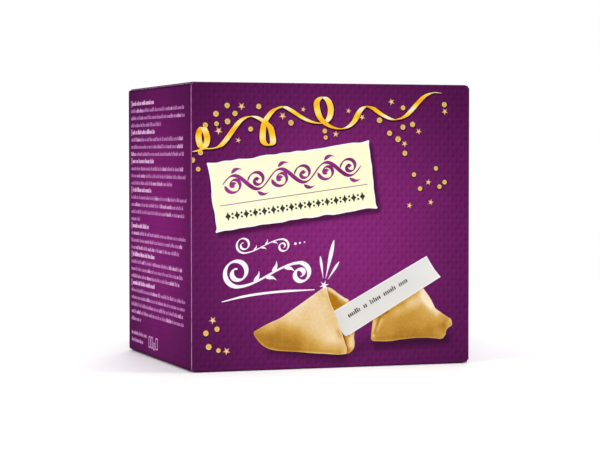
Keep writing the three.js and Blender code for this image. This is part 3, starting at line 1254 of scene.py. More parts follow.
# %% Tree: a stamp on every point
def stamp_tree(name, bar=False):
    """A tree that stamps a bar one unit wide and high, or a star whose corners reach one unit out."""
    tree, graph, given = new_tree(name, [
        ("Corners", "Int", 5), ("Pinch", "Float", 0.4), ("Lift", "Float", 0.06), ("Sink", "Float", SINK),
        ("Ink", "Material", None),
    ])
    if bar:
        face = graph.add("GeometryNodeCurvePrimitiveQuadrilateral", {}, {"Width": 1.0, "Height": 1.0})
    else:
        star = {"Points": given["Corners"], "Inner Radius": given["Pinch"], "Outer Radius": 1.0}
        face = graph.add("GeometryNodeCurveStar", {}, star)
    bottom, top = (combine(graph, 0.0, 0.0, height) for height in (-given["Sink"], given["Lift"]))
    rise = graph.add("GeometryNodeCurvePrimitiveLine", {}, {"Start": bottom, "End": top})
    swept = {"Curve": rise, "Profile Curve": face, "Fill Caps": True}
    block = graph.add("GeometryNodeCurveToMesh", {}, swept)
    block = keep(graph, block, "local", graph.add("GeometryNodeInputPosition"), "FLOAT_VECTOR")
    angles = combine(graph, 0.0, 0.0, named(graph, "turn"))
    turn = graph.add("FunctionNodeEulerToRotation", {}, {"Euler": angles})
    size = named(graph, "size", "FLOAT_VECTOR")
    placed = {"Points": given["Geometry"], "Instance": block, "Rotation": turn, "Scale": size}
    end_tree(graph, graph.add("GeometryNodeInstanceOnPoints", {}, placed), given["Ink"])
    return tree


STAMP_TREE = stamp_tree("confetti_stamp")
BAR_TREE = stamp_tree("bar_stamp", bar=True)


def stamp(name, places, panel, material, slot, tree, **settings):
    """Stamps at places, each u, v, breadth, height, turn and shade."""
    places = np.array(places, float)
    source = bpy.data.meshes.new("places")
    source.from_pydata([(u, v, 0) for u, v in places[:, :2]], [], [])
    store(source, "size", np.column_stack([places[:, 2:4], np.ones(len(places))]))
    store(source, "turn", places[:, 4])
    store(source, "shade", places[:, 5])
    mesh = grow(tree, source, {"Ink": material, **settings})
    press(name, mesh, panel)


print("stamp trees:", len(STAMP_TREE.nodes), "and", len(BAR_TREE.nodes), "nodes")

# %% Confetti round the ribbon, and on the lid
DISC_CORNERS, STAR_CORNERS = 9, 5
STAR_PINCH = 0.36
CONFETTI_RIM = 0.32  # how far the shadow stands out round a piece
CONFETTI_SHADE_SHIFT = (0.1, -0.15)
CONFETTI_LIFT, CONFETTI_SHADOW_LIFT = 0.06, 0.03
DISCS = [  # u, v and radius
    (-46.7, 110.2, 1.15), (-51.5, 106.7, 1.25), (-43.3, 106.9, 1.15), (-33.0, 109.9, 1.15),
    (-46.5, 103.6, 1.25), (-56.1, 102.0, 1.1), (-51.3, 102.6, 1.0), (-36.5, 100.5, 1.1),
    (-18.8, 103.2, 1.2), (-58.2, 90.7, 1.1), (-61.6, 87.6, 1.15), (-59.2, 83.9, 1.0),
    (-3.8, 99.8, 1.05), (-3.4, 97.1, 0.95), (20.8, 104.5, 1.25), (31.5, 109.8, 1.05),
    (31.5, 101.6, 1.15), (35.9, 102.8, 1.2), (25.4, 99.0, 1.15), (29.3, 96.5, 1.3), (32.4, 90.5, 1.15),
    (50.5, 111.3, 1.1), (46.7, 84.0, 1.0), (36.6, 81.4, 1.0), (50.7, 78.1, 1.0), (48.3, 76.2, 1.0),
    (39.4, 75.4, 1.05), (-56.0, 16.1, 1.2), (-51.2, 17.7, 1.15), (-54.8, 10.4, 1.3), (-50.6, 8.8, 1.0),
]
STARS = [  # u, v, radius and turn in degrees
    (-40.5, 109.9, 1.85, 35), (-50.4, 99.7, 1.9, 30), (-41.9, 95.8, 1.4, -15), (-22.5, 106.0, 1.8, 35),
    (-13.4, 108.8, 1.3, -15), (6.8, 108.3, 1.4, -15), (12.9, 105.7, 1.5, 30), (1.1, 98.5, 1.55, -5),
    (26.2, 112.3, 1.6, 20), (38.7, 99.8, 1.55, -30), (32.2, 94.5, 1.55, -30), (50.7, 108.3, 1.55, 30),
    (43.2, 78.1, 1.5, -10), (44.3, 69.5, 1.5, -15), (34.5, 68.2, 1.5, -15), (-53.1, 21.4, 1.8, 30),
    (-47.1, 8.4, 1.8, 30),
]
LID_DISC_RADIUS, LID_STAR_RADIUS = 1.2, 1.55
LID_SIZES = (0.84, 1.06)  # shares of those radii
LID_TURN = 25
LID_CONFETTI = 64
LID_MARGIN, LID_SPACING = 6.0, 6.5
FOIL_ROUGHNESS = 0.35
LIT_SIDE = 0.12  # how much the gold lightens to the upper left
FOIL_DRIFT = 0.2  # how much one piece differs from the next
SHOW_SEED, LID_SEED, LID_PLACE_SEED, LID_PIECE_SEED = 3, 5, 21, 4
DISC_GOLDS = [  # from the middle out
    (0.0, ink(208, 168, 64)), (0.45, ink(210, 167, 78)), (0.8, ink(232, 194, 130)), (1.0, ink(184, 136, 76)),
]
STAR_GOLDS = [(0.0, ink(244, 208, 174)), (0.35, ink(228, 178, 128)), (1.0, ink(192, 138, 90))]


def confetti_gold(name, golds):
    """Foil confetti, darkest at the rim, and darker on the lower right than on the upper left."""
    made, graph = new_material(name)
    u, v, _ = attribute(graph, "local", "Vector").parts()
    out = length(u, v) + (u - v) * LIT_SIDE + (attribute(graph, "shade") - 0.5) * FOIL_DRIFT
    varnish(graph, ramp(out, golds), FOIL_ROUGHNESS)
    return made


def scatter(spread, count, spacing, seed):
    """Seeded places in a rectangle round the origin that keep their distance from each other."""
    draw_place = random.Random(seed)
    places = []
    while len(places) < count:
        place = (draw_place.uniform(-spread[0], spread[0]), draw_place.uniform(-spread[1], spread[1]))
        if all(math.dist(place, other) > spacing for other in places):
            places.append(place)
    return places


def loose_pieces(places, radius, draw_piece):
    """Confetti at places, each piece with a size and a turn of its own."""
    return [
        (u, v, radius * draw_piece.uniform(*LID_SIZES), draw_piece.uniform(-LID_TURN, LID_TURN))
        for u, v in places
    ]


def make_confetti(panel, discs, stars, seed):
    """Stamps discs and stars, each u, v, radius and turn, and the shadow that rims them."""
    draw_shade = random.Random(seed)
    for kind, pieces, corners, pinch, gold in (
        ("discs", discs, DISC_CORNERS, 1.0, DISC_GOLD),
        ("stars", stars, STAR_CORNERS, STAR_PINCH, STAR_GOLD),
    ):
        rows = [
            (u, v, radius, radius, math.radians(90 + turn), draw_shade.random())
            for u, v, radius, turn in pieces
        ]
        rims = np.array(rows) + (*CONFETTI_SHADE_SHIFT, CONFETTI_RIM, CONFETTI_RIM, 0, 0)
        for name, places, material, slot, lift in (
            (f"confetti_{kind}_{panel}", rows, gold, "gold_print", CONFETTI_LIFT),
            (f"confetti_{kind}_shadow_{panel}", rims, SHADOW_INK, "dark_print", CONFETTI_SHADOW_LIFT),
        ):
            shape = {"Corners": corners, "Pinch": pinch, "Lift": lift}
            stamp(name, places, panel, material, slot, STAMP_TREE, **shape)


DISC_GOLD = confetti_gold("disc_gold", DISC_GOLDS)
STAR_GOLD = confetti_gold("star_gold", STAR_GOLDS)
for panel in ("front", "back"):
    make_confetti(panel, [(*disc, 0) for disc in DISCS], STARS, SHOW_SEED)
lid_spread = (WIDTH / 2 - LID_MARGIN, DEPTH / 2 - LID_MARGIN)
lid_places = scatter(lid_spread, LID_CONFETTI, LID_SPACING, LID_PLACE_SEED)
draw_piece = random.Random(LID_PIECE_SEED)
lid_discs = loose_pieces(lid_places[::3] + lid_places[1::3], LID_DISC_RADIUS, draw_piece)
lid_stars = loose_pieces(lid_places[2::3], LID_STAR_RADIUS, draw_piece)
make_confetti("top", lid_discs, lid_stars, LID_SEED)

# %% [markdown]
# ## Scrollwork
#
# The label carries a running scroll in violet: a wavy stem with a curled tendril and two leaves in each
# hollow, drawn with a broad nib. Below it lie a fine rule and a row of lozenges and pearls. The field below
# the label holds two white scrolls with leaves, three dots, an underline, and a small star with three rays.
# A tendril is a spiral, and a nib's breadth follows from the way the line runs.


# %% Spirals and leaves
POINTS_PER_TURN = 28
SPIRAL_BULGE = 0.8  # below 1 a spiral's radius changes fast at first
LEAF_BREADTHS = np.array((0.2, 0.7, 0.95, 1.0, 0.85, 0.65, 0.42, 0.22, 0.08))  # from the stem to the tip


def volute(centre, start_radius, end_radius, start_angle, turns):
    """A spiral round a centre; the angle is in degrees, and negative turns run clockwise."""
    count = int(abs(turns) * POINTS_PER_TURN)
    share = np.linspace(0, 1, count)
    radius = start_radius + (end_radius - start_radius) * share**SPIRAL_BULGE
    angle = math.radians(start_angle) + share * turns * 2 * math.pi
    return np.column_stack([centre[0] + radius * np.cos(angle), centre[1] + radius * np.sin(angle)])


def stroke_of_width(line, width, lift):
    """A stroke whose width is given for each point, and whose edges don't lean."""
    same = np.ones(len(line))
    return np.column_stack([line, width * same, 0 * same, MID_SHADE * same, lift * same])


def leaf(start, end, broad, bend, lift):
    """A leaf-shaped touch of the pen that bends to one side and is broad near its start."""
    share = np.linspace(0, 1, len(LEAF_BREADTHS))[:, None]
    run = np.array(end, float) - np.array(start, float)
    aside = np.array((-run[1], run[0])) * bend
    line = np.array(start) + run * share + aside * 4 * share * (1 - share)
    return stroke_of_width(line, broad * LEAF_BREADTHS, lift)


print("leaf of", len(LEAF_BREADTHS), "points")

# %% Running scroll
STEM_MIDDLE, STEM_SWING, STEM_WAVE = 4.4, 3.5, 20.6
STEM_ENDS = (-30.8, 31.2)
STEM_NIB, STEM_TAPER = (1.7, 0.5), 3.0
HOLLOWS = 6
TENDRIL_RADII, TENDRIL_TURNS = (4.1, 0.8), 1.3
TENDRIL_NIB, TENDRIL_TAPER = (1.55, 0.5), 1.5
BUD_BREADTH, TIP_LEAF_BREADTH = 1.7, 1.5
NIB_ANGLE = math.radians(35)
ON_LABEL = LABEL_LIFT + 0.05  # lift of what is printed on the label
SCROLL_STEP = 0.3


def running_scroll():
    stem_u = np.linspace(*STEM_ENDS, 90)
    phase = (stem_u - STEM_ENDS[0]) / STEM_WAVE * 2 * math.pi
    stem = np.column_stack([stem_u, STEM_MIDDLE + STEM_SWING * np.sin(phase)])
    strokes = [pen(stem, *STEM_NIB, NIB_ANGLE, STEM_TAPER, lift=ON_LABEL + 0.01)]
    for hollow in range(HOLLOWS):
        side = 1 if hollow % 2 else -1  # the hollow opens upwards or downwards
        u, v = STEM_ENDS[0] + STEM_WAVE * (0.25 + hollow / 2), STEM_MIDDLE + side * 0.3
        tendril = volute((u, v), *TENDRIL_RADII, 180, -side * TENDRIL_TURNS)
        strokes.append(pen(tendril, *TENDRIL_NIB, NIB_ANGLE, TENDRIL_TAPER, lift=ON_LABEL))
        strokes.append(leaf((u - 0.9, v), (u + 1.1, v + 0.3), BUD_BREADTH, 0.15, ON_LABEL))
        crest = STEM_MIDDLE - side * (STEM_SWING + 0.9)
        tip = (u + 4.2, crest - side * 1.1)
        strokes.append(leaf((u - 0.5, crest), tip, TIP_LEAF_BREADTH, -0.2 * side, ON_LABEL))
    return strokes


print("running scroll of", len(running_scroll()), "strokes")

# %% What is printed on the label
RULE_ENDS, RULE_V, RULE_BREADTH = (-32.8, 32.9), -3.8, 0.3
ROW_ENDS, ROW_V, ROW_STOPS = (-30, 30), -8.6, 31
LOZENGE_SIZE, LOZENGE_PINCH = (1.25, 1.9), 0.55
PEARL_RADIUS, PEARL_ASIDE = 0.46, 0.8


def make_label_art(panel):
    placed = [turned(stroke, LABEL_CENTRE, LABEL_TILT) for stroke in running_scroll()]
    draw(f"label_scroll_{panel}", placed, panel, VIOLET_INK, SCROLL_STEP)
    rule = [(u, RULE_V) for u in np.linspace(*RULE_ENDS, 12)]
    rule = turned(stroke_of_width(rule, RULE_BREADTH, ON_LABEL), LABEL_CENTRE, LABEL_TILT)
    draw(f"label_rule_{panel}", [rule], panel, RULE_INK, step=2.0)
    stops = np.linspace(*ROW_ENDS, ROW_STOPS)
    lozenges = [(u, ROW_V, *LOZENGE_SIZE, LABEL_TILT, MID_SHADE) for u in stops[::2]]
    pearls = [
        (u, ROW_V + aside, PEARL_RADIUS, PEARL_RADIUS, 0.0, MID_SHADE)
        for u in stops[1::2]
        for aside in (-PEARL_ASIDE, PEARL_ASIDE)
    ]
    for name, rows, corners, pinch in (("lozenges", lozenges, 4, LOZENGE_PINCH), ("pearls", pearls, 8, 1.0)):
        rows = turned(rows, LABEL_CENTRE, LABEL_TILT)
        settings = {"Corners": corners, "Pinch": pinch, "Lift": ON_LABEL}
        stamp(f"label_{name}_{panel}", rows, panel, DARK_INK, "dark_print", STAMP_TREE, **settings)


VIOLET_INK = flat_ink("violet_ink", ink(116, 28, 98), ink(152, 58, 136))
RULE_INK = flat_ink("rule_ink", ink(150, 112, 130), ink(140, 100, 122))
DARK_INK = flat_ink("dark_ink", ink(44, 54, 44), ink(58, 66, 54))
for panel in ("front", "back"):
    make_label_art(panel)

# %% White scrolls, underline and rays
SCROLL_LIFT = 0.08
SCROLL_EYE, SCROLL_TURNS = 0.2, 1.5  # a curl's inner radius as a share of its outer one, and its turns
SCROLL_THIN, SCROLL_TAPER = 0.35, 3.0  # the nib's short side as a share of its long one, and the taper
BRIDGE_SHARES, BRIDGE_POINTS = (0.06, 0.94), 16  # of the way from the first curl to the last
SCROLL_LEAVES = ((3, 1), (6, -1), (8, 1), (11, -1))  # place along the bridge, and side
LEAF_SPLAY, LEAF_BEND = math.radians(38), 0.16
LEAF_STAND_OFF, LEAF_BREADTH = 0.55, 0.75  # as shares of the scroll's breadth
SCROLLS = (  # first centre and radius, last centre and radius, breadth, length of the leaves
    ((-42.4, 41.0), 6.0, (-14.6, 39.9), 4.7, 2.1, 4.6),
    ((-39.6, 52.4), 3.4, (-22.4, 51.6), 3.0, 0.95, 2.4),
)
UNDERLINE = [(-49.1, 28.9), (-38, 31.2), (-24, 32.6), (-8.4, 33.1)]
UNDERLINE_SWELL = ((-49.1, -40, -20, -8.4), (0.3, 0.95, 0.95, 0.3))  # u, and the breadth there
RAY_CENTRE, RAY_START = (-4.1, 34.8), 3.0
RAYS = ((19.5, 77, 1.7), (12.5, 98, 1.1), (12.0, 56, 1.1))  # reach, angle in degrees, breadth


def s_scroll(first, first_radius, last, last_radius, broad, leaf_length):
    """Strokes of a curl that unwinds below the first centre and winds up over the last, leaved between."""
    opening = volute(first, first_radius * SCROLL_EYE, first_radius, 90, SCROLL_TURNS)
    closing = volute(last, last_radius, last_radius * SCROLL_EYE, 90, -SCROLL_TURNS)
    share = np.linspace(*BRIDGE_SHARES, BRIDGE_POINTS)
    bend = share * share * (3 - 2 * share)
    (u0, v0), (u1, v1) = opening[-1], closing[0]
    bridge = np.column_stack([u0 + (u1 - u0) * share, v0 + (v1 - v0) * bend])
    whole = np.vstack([opening, bridge, closing])
    strokes = [pen(whole, broad, broad * SCROLL_THIN, NIB_ANGLE, SCROLL_TAPER, lift=SCROLL_LIFT)]
    for place, side in SCROLL_LEAVES:
        run = bridge[place + 1] - bridge[place]
        heading = math.atan2(run[1], run[0]) + side * LEAF_SPLAY
        away = np.array((math.cos(heading), math.sin(heading)))
        start = bridge[place] + away * broad * LEAF_STAND_OFF
        tip = start + away * leaf_length
        strokes.append(leaf(start, tip, broad * LEAF_BREADTH, -LEAF_BEND * side, SCROLL_LIFT))
    return strokes


def white_scrolls():
    underline = smooth_line(UNDERLINE, 2.0)
    width = np.interp(underline[:, 0], *UNDERLINE_SWELL)
    strokes = [stroke_of_width(underline, width, SCROLL_LIFT)]
    for scroll in SCROLLS:
        strokes += s_scroll(*scroll)
    for reach, turn, broad in RAYS:
        away = np.array((math.cos(math.radians(turn)), math.sin(math.radians(turn))))
        outer, inner = RAY_CENTRE + away * reach, RAY_CENTRE + away * RAY_START
        strokes.append(leaf(outer, inner, broad, 0.0, SCROLL_LIFT))
    return strokes


print("white scrolls of", len(white_scrolls()), "strokes")

# %% White print, with a star and dots
STAR_RADIUS, STAR_TURN = 2.2, 0.25
RAY_STAR = (*RAY_CENTRE, STAR_RADIUS, STAR_RADIUS, STAR_TURN, MID_SHADE)
STAR_SHAPE = {"Corners": 6, "Pinch": 0.32, "Lift": 0.1}
DOT_START, DOT_STEP, DOT_RADII = (-16.9, 52.6), (2.0, 0.3), (0.55, 0.43, 0.31)
DOT_SHAPE = {"Corners": 8, "Pinch": 1.0, "Lift": SCROLL_LIFT}
WHITE_DOTS = [
    (DOT_START[0] + DOT_STEP[0] * place, DOT_START[1] + DOT_STEP[1] * place, radius, radius, 0.0, MID_SHADE)
    for place, radius in enumerate(DOT_RADII)
]

WHITE_INK = flat_ink("white_ink", ink(252, 240, 250), ink(250, 230, 248))
for panel in ("front", "back"):
    draw(f"scrolls_{panel}", white_scrolls(), panel, WHITE_INK, SCROLL_STEP)
    stamp(f"star_{panel}", [RAY_STAR], panel, WHITE_INK, "white_print", STAMP_TREE, **STAR_SHAPE)
    stamp(f"dots_{panel}", WHITE_DOTS, panel, WHITE_INK, "white_print", STAMP_TREE, **DOT_SHAPE)

# %% [markdown]
# ## The two halves of a cookie and its slip
#
# The show face carries a picture of a cracked cookie. It is built up like a stencil print, from the far
# inside of the shell to the near face and the paper slip on top. Light and shade are painted on the points
# of each plate: soft strokes, each a line with a reach and an amount, lighten or darken a base tone, and a
# ramp turns the tone into baked colours. Fine noise adds the pores and freckles of the baked dough.

# %% Painting tones
PAINT_GRID = 0.55
PORE_SCALE, PORE_DETAIL, PORES = 900.0, 5.0, 0.06
TOAST_SCALE, TOAST_DETAIL, TOAST = 130.0, 3.0, 0.08
DOUGH_ROUGHNESS = 0.45
DOUGHS = [  # the deep inside, then from toasted to pale
    (0.0, ink(118, 70, 4)), (0.13, ink(174, 110, 6)), (0.2, ink(156, 108, 34)), (0.28, ink(167, 120, 43)),
    (0.42, ink(186, 140, 58)), (0.6, ink(203, 163, 88)), (0.8, ink(220, 190, 140)),
    (1.0, ink(233, 214, 180)),
]


def baked_dough():
    made, graph = new_material("baked_dough")
    pores = noise(graph, PORE_SCALE, PORE_DETAIL).step(*NOISE_RANGE) - 0.5
    toast = noise(graph, TOAST_SCALE, TOAST_DETAIL).step(*NOISE_RANGE) - 0.5
    tone = attribute(graph, "shade") + pores * PORES + toast * TOAST
    varnish(graph, ramp(tone, DOUGHS), DOUGH_ROUGHNESS)
    return made


def painted_plate(name, loop, lift, base, strokes, material, panel):
    """A plate with a tone on each point: a base tone and soft strokes, each a line, a reach and an amount."""
    mesh = plate(name, loop, lift, PAINT_GRID)
    points = points_of(mesh)[:, :2]
    tone = np.full(len(points), float(base))
    for line, reach, amount in strokes:
        tone += amount * np.exp(-((distance_to(points, line) / reach) ** 2))
    store(mesh, "shade", np.clip(tone, 0, 1))
    mesh.materials.append(material)
    press(name, mesh, panel)


print(len(DOUGHS), "tones of dough")

# %% Left half, inside
SHELL_LIFT, SHELL_BEHIND = 0.07, 0.05
INSIDE_TONE = 0.13
LEFT_PEAK, LEFT_FOOT = (-3.2, 34.3), (5.6, 5.6)


def make_left_inside(panel):
    curl = [LEFT_FOOT, (7.4, 6.0), (9.2, 7.8), (9.6, 10.2), (9.3, 12.5), (9.7, 14.9)]
    back_rim = [(9.7, 14.9), (10.4, 22.0), (7.1, 28.2), (5.0, 29.4), (2.3, 31.2), (-0.8, 33.5), LEFT_PEAK]
    hidden = [LEFT_PEAK, (-4.0, 26.0), (-1.0, 18.0), (2.0, 9.0), LEFT_FOOT]
    strokes = [
        ([(-2.0, 33.4), (1.4, 31.3), (6.2, 28.4)], 1.0, 0.75),  # the far rim in the light
        ([(2.8, 28.8), (6.4, 26.6)], 1.5, 0.3),
        ([(8.0, 12.6), (8.1, 9.3)], 2.1, 0.75),  # the curl at the foot
        ([(6.6, 13.6), (7.4, 12.9)], 0.45, -0.4),
        ([(3.9, 14.8), (4.7, 12.2), (5.5, 9.8), (6.3, 7.4)], 0.5, -0.42),  # the crease beside it
        (curl, 0.4, 0.2),
    ]
    loop = outline(curl, back_rim, hidden)
    name = f"cookie_left_inside_{panel}"
    painted_plate(name, loop, SHELL_BEHIND, INSIDE_TONE, strokes, DOUGH, panel)


print("left half, inside: lift", SHELL_BEHIND, "mm")

# %% Left half, near face
LEFT_TONE = 0.81
LIP = [  # the near edge of the broken mouth, from the foot up to the peak
    LEFT_FOOT, (6.1, 7.6), (4.9, 11.4), (3.5, 15.4), (2.0, 19.8), (0.1, 24.5), (-1.6, 28.5), (-2.5, 31.8),
    LEFT_PEAK,
]


def make_left_shell(panel):
    top_edge = [
        LEFT_PEAK, (-5.0, 33.5), (-6.6, 32.4), (-10.8, 29.7), (-15.7, 26.5), (-19.9, 23.8), (-23.8, 21.4),
        (-28.5, 19.5), (-33.2, 17.2), (-35.2, 15.9),
    ]
    bottom = [
        (-34.8, 14.3), (-33.3, 12.2), (-31.2, 10.2), (-28.4, 8.7), (-25.5, 8.0), (-21.8, 7.6), (-15.7, 7.1),
        (-9.6, 6.4), (-3.5, 5.9), (2.3, 5.4), LEFT_FOOT,
    ]
    strokes = [
        ([(-34, 14.5), (-27, 12), (-21, 10.8), (-17, 10.4)], 5.8, -0.59),  # toasted belly
        ([(-9, 8.8), (-4, 8), (3.0, 6.6)], 3.6, -0.26),
        ([(-24.0, 17.6), (-17.0, 16.0)], 3.0, -0.12),
        ([(-34.0, 16.2), (-27.0, 17.4)], 1.8, 0.1),
        ([(-4.0, 12.0), (0.5, 12.0)], 2.6, 0.08),
        ([(-9.0, 30.0), (-20.0, 22.5)], 2.0, 0.06),
        ([(-3.2, 31.0), (-2.5, 28.5), (-1.0, 24.6)], 0.6, -0.12),  # wrinkles below the peak
        ([(-5.3, 32.4), (-4.7, 29.8)], 0.4, -0.14),
        ([(-6.9, 30.9), (-6.2, 28.8)], 0.5, -0.07),
        ([(2.2, 15.2), (3.1, 13.2)], 1.0, -0.24),
        (LIP, 0.35, 0.1),
        ([(-30.0, 10.6), (-22.0, 8.6), (-8.0, 7.4), (3.0, 6.2)], 0.7, -0.14),
        (bottom, 0.3, 0.16),
        (top_edge, 0.35, 0.15),
    ]
    loop = outline(LIP, top_edge + bottom)
    name = f"cookie_left_shell_{panel}"
    painted_plate(name, loop, SHELL_LIFT, LEFT_TONE, strokes, DOUGH, panel)


print("left half, near face: lift", SHELL_LIFT, "mm")

# %% Right half, and both halves on the show face and the back
RIGHT_TONE = 0.41


def make_right_shell(panel):
    bottom = [
        (17.0, 11.8), (17.6, 10.9), (19.2, 10.6), (25.3, 10.4), (30.8, 11.0), (36.3, 11.4), (41.9, 11.4),
        (46.0, 11.1), (49.6, 10.8), (51.3, 12.6),
    ]
    notch = [(51.3, 12.6), (51.5, 14.1), (52.6, 15.5), (54.0, 16.3), (54.3, 17.6), (53.7, 19.2)]
    right_edge = [
        (53.7, 19.2), (51.5, 20.5), (48.8, 22.3), (46.6, 23.9), (45.7, 25.5), (44.4, 27.9), (42.7, 30.3),
        (41.0, 32.6),
    ]
    hidden = [(41.0, 32.6), (34.0, 29.5), (26.0, 25.5), (18.5, 21.5)]
    left_edge = [(18.5, 21.5), (17.9, 19.7), (17.4, 16.3), (17.0, 11.8)]
    strokes = [
        ([(41.6, 31.2), (43.8, 27.4)], 2.6, 0.6),  # the pale top, in the light
        ([(35.0, 27.0), (41.0, 28.6)], 2.6, 0.3),
        ([(29.0, 23.2), (37.0, 25.4)], 2.2, 0.12),
        ([(43.8, 26.8), (45.2, 24.0), (47.2, 22.4)], 1.8, 0.42),
        ([(41.5, 22.6), (48.0, 19.5)], 2.8, 0.07),
        ([(24.0, 20.5), (30.0, 23.0)], 2.2, 0.06),
        ([(30.0, 13.5), (44.0, 14.0)], 2.8, -0.12),  # toasted belly
        ([(48.6, 16.0), (51.8, 17.6)], 1.5, -0.12),  # the broken tip
        ([(50.4, 14.0), (50.6, 16.2)], 1.3, -0.12),
        ([(52.4, 17.2), (53.2, 18.2)], 1.1, 0.24),
        ([(21.0, 20.6), (19.6, 17.2), (18.3, 13.8)], 0.45, -0.36),  # the fold at the left
        ([(18.6, 19.0), (18.0, 13.0)], 0.8, 0.4),
        ([(21.6, 19.4), (19.8, 15.8)], 0.9, 0.26),
        ([(21.0, 20.9), (24.6, 22.9)], 0.5, -0.3),
        ([(24.0, 22.5), (35.0, 28.3)], 0.45, -0.12),  # the slip's shade
        ([(20.0, 11.7), (36.0, 12.3), (48.0, 12.0)], 0.9, -0.1),
        (bottom, 0.3, 0.14),
        (right_edge, 0.35, 0.25),
        (notch, 0.35, 0.25),
    ]
    loop = outline(bottom, notch, right_edge, hidden, left_edge)
    name = f"cookie_right_shell_{panel}"
    painted_plate(name, loop, SHELL_LIFT, RIGHT_TONE, strokes, DOUGH, panel)


DOUGH = baked_dough()
for panel in ("front", "back"):
    make_left_inside(panel)
    make_left_shell(panel)
    make_right_shell(panel)

# %% Words that say nothing
TICK_HEIGHTS = (0.62, 0.66, 0.68, 0.95)  # shares of the row's height; one in four stands tall
TICK_BREADTHS = (0.48, 0.66)  # shares of the room that a tick has


def ticks(length_of_word, place, turn, height, tick, draw_tick, shade=MID_SHADE):
    """Upright ticks of uneven height in place of the letters of one word, from its lower left corner."""
    rows, reach = [], 0.0
    while reach < length_of_word - tick / 2:
        tall = height * draw_tick.choice(TICK_HEIGHTS)
        broad = tick * draw_tick.uniform(*TICK_BREADTHS)
        middle = (reach + tick / 2, tall / 2)
        u = place[0] + middle[0] * math.cos(turn) - middle[1] * math.sin(turn)
        v = place[1] + middle[0] * math.sin(turn) + middle[1] * math.cos(turn)
        rows.append((u, v, broad, tall, turn, shade))
        reach += tick
    return rows


print("ticks ready")

# %% Paper slip, with ticks in place of words
SLIP_LIFT = 0.11
SLIP_CORNERS = ((7.2, 13.7), (48.9, 37.4), (42.4, 46.5))
SLIP_MOUTH = (15.3, 24.0)  # the heights between which the slip comes out of the mouth
SLIP_TONE, SLIP_ROUGHNESS = 0.72, 0.55
SLIP_MOTTLE_SCALE, SLIP_MOTTLE = 70.0, 0.12
SLIP_TILT = math.radians(28.9)
SLIP_WORDS = (6.3, 1.8, 5.4, 6.3, 4.5)  # lengths
SLIP_WORD_GAP = 1.6
SLIP_WORDS_START = (7.0, 20.8)
SLIP_TICK, SLIP_TICK_HEIGHT, SLIP_TICK_LIFT = 0.9, 2.2, SLIP_LIFT + 0.04
SLIP_SEED = 5


def slip_paper():
    made, graph = new_material("slip_paper")
    tones = [
        (0.0, ink(170, 168, 164)), (0.5, ink(205, 203, 199)), (0.8, ink(216, 215, 211)),
        (1.0, ink(242, 232, 240)),
    ]
    tone = attribute(graph, "shade") + (noise(graph, SLIP_MOTTLE_SCALE, 3.0) - 0.5) * SLIP_MOTTLE
    varnish(graph, ramp(tone, tones), SLIP_ROUGHNESS)
    return made


def make_slip(panel):
    near_low, far_low, far_top = SLIP_CORNERS
    mouth = [point for point in smooth_line(LIP[::-1]) if SLIP_MOUTH[0] < point[1] < SLIP_MOUTH[1]]
    curled = [mouth[-1], (4.7, 13.8), (5.7, 13.2), near_low]
    torn_end = [far_low, (46.4, 40.3), (44.6, 42.9), far_top]
    loop = outline(curled, [near_low, far_low], torn_end, [far_top, mouth[0]], mouth)
    strokes = [
        (mouth, 3.0, -0.16),  # the shade of the mouth
        ([(42.0, 42.0), (46.0, 38.5)], 6.0, 0.1),
        ([near_low, far_low], 0.35, 0.35),  # the paper's edges
        ([far_top, mouth[0]], 0.35, 0.35),
        (torn_end, 0.35, 0.35),
    ]
    painted_plate(f"slip_{panel}", loop, SLIP_LIFT, SLIP_TONE, strokes, SLIP_WHITE, panel)
    along = (math.cos(SLIP_TILT), math.sin(SLIP_TILT))
    draw_tick, rows, reach = random.Random(SLIP_SEED), [], 0.0
    for word in SLIP_WORDS:
        place = [start + reach * way for start, way in zip(SLIP_WORDS_START, along)]
        rows += ticks(word, place, SLIP_TILT, SLIP_TICK_HEIGHT, SLIP_TICK, draw_tick)
        reach += word + SLIP_WORD_GAP
    stamp(f"slip_ticks_{panel}", rows, panel, GREY_INK, "dark_print", BAR_TREE, Lift=SLIP_TICK_LIFT)


SLIP_WHITE = slip_paper()
GREY_INK = flat_ink("grey_ink", ink(26, 26, 26), ink(40, 38, 38))
for panel in ("front", "back"):
    make_slip(panel)

# %% [markdown]
# ## Small print on the sides
#
# A food carton's sides are full of small print. Here it is only its colour and rhythm: the same upright ticks
# as on the slip, in words of seeded lengths, with heavier and brighter ones in the row that heads each block
# and a small empty frame before them. Two short rows and four frames close the column. The bar stamp sets
# them all as one piece for each side.

# %% Rows of ticks
ROW_PITCH = 3.25
ROW_LEFT, ROW_LENGTH = -47.2, 92.4
FIRST_ROW = 112.1
BLOCKS = (  # for each block, the heading's share of a full row, and its rows' shares
    (0.43, (0.97, 0.98, 0.56)), (0.44, (0.95, 0.95, 0.96)), (0.43, (0.95, 1, 0.76)),
    (0.39, (1, 0.95, 0.98, 0.16)), (0.33, (0.99, 0.93, 0.87)), (0.45, (0.94, 0.94, 0.88)),
    (0.44, (0.98, 0.97, 0.94, 0.96, 0.18)),
)
CLOSING_ROWS = (0.3, 0.22)
SMALL_TICK, HEAD_TICK, HEAD_WEIGHT = 0.95, 1.05, 1.25
HEAD_HEIGHT, SMALL_HEIGHT, CLOSING_HEIGHT = 2.1, 1.85, 1.9
HEAD_START = 2.4  # the heading starts after its frame
HEAD_SHADES, SMALL_SHADES, CLOSING_SHADES = (0.75, 0.9), (0.0, 0.1, 0.1, 0.2, 0.2, 0.3, 0.7), (0.2, 0.4)
FRAME_SHADE = 0.4
WORD_GAP = 0.8
WORD_TICKS = (2, 10)  # fewest and most ticks of a word
HEAD_FRAME, HEAD_BAR = (0.9, 0.85, 1.7, 2.9), 0.35  # u from the left, v from the row, breadth, height; bar
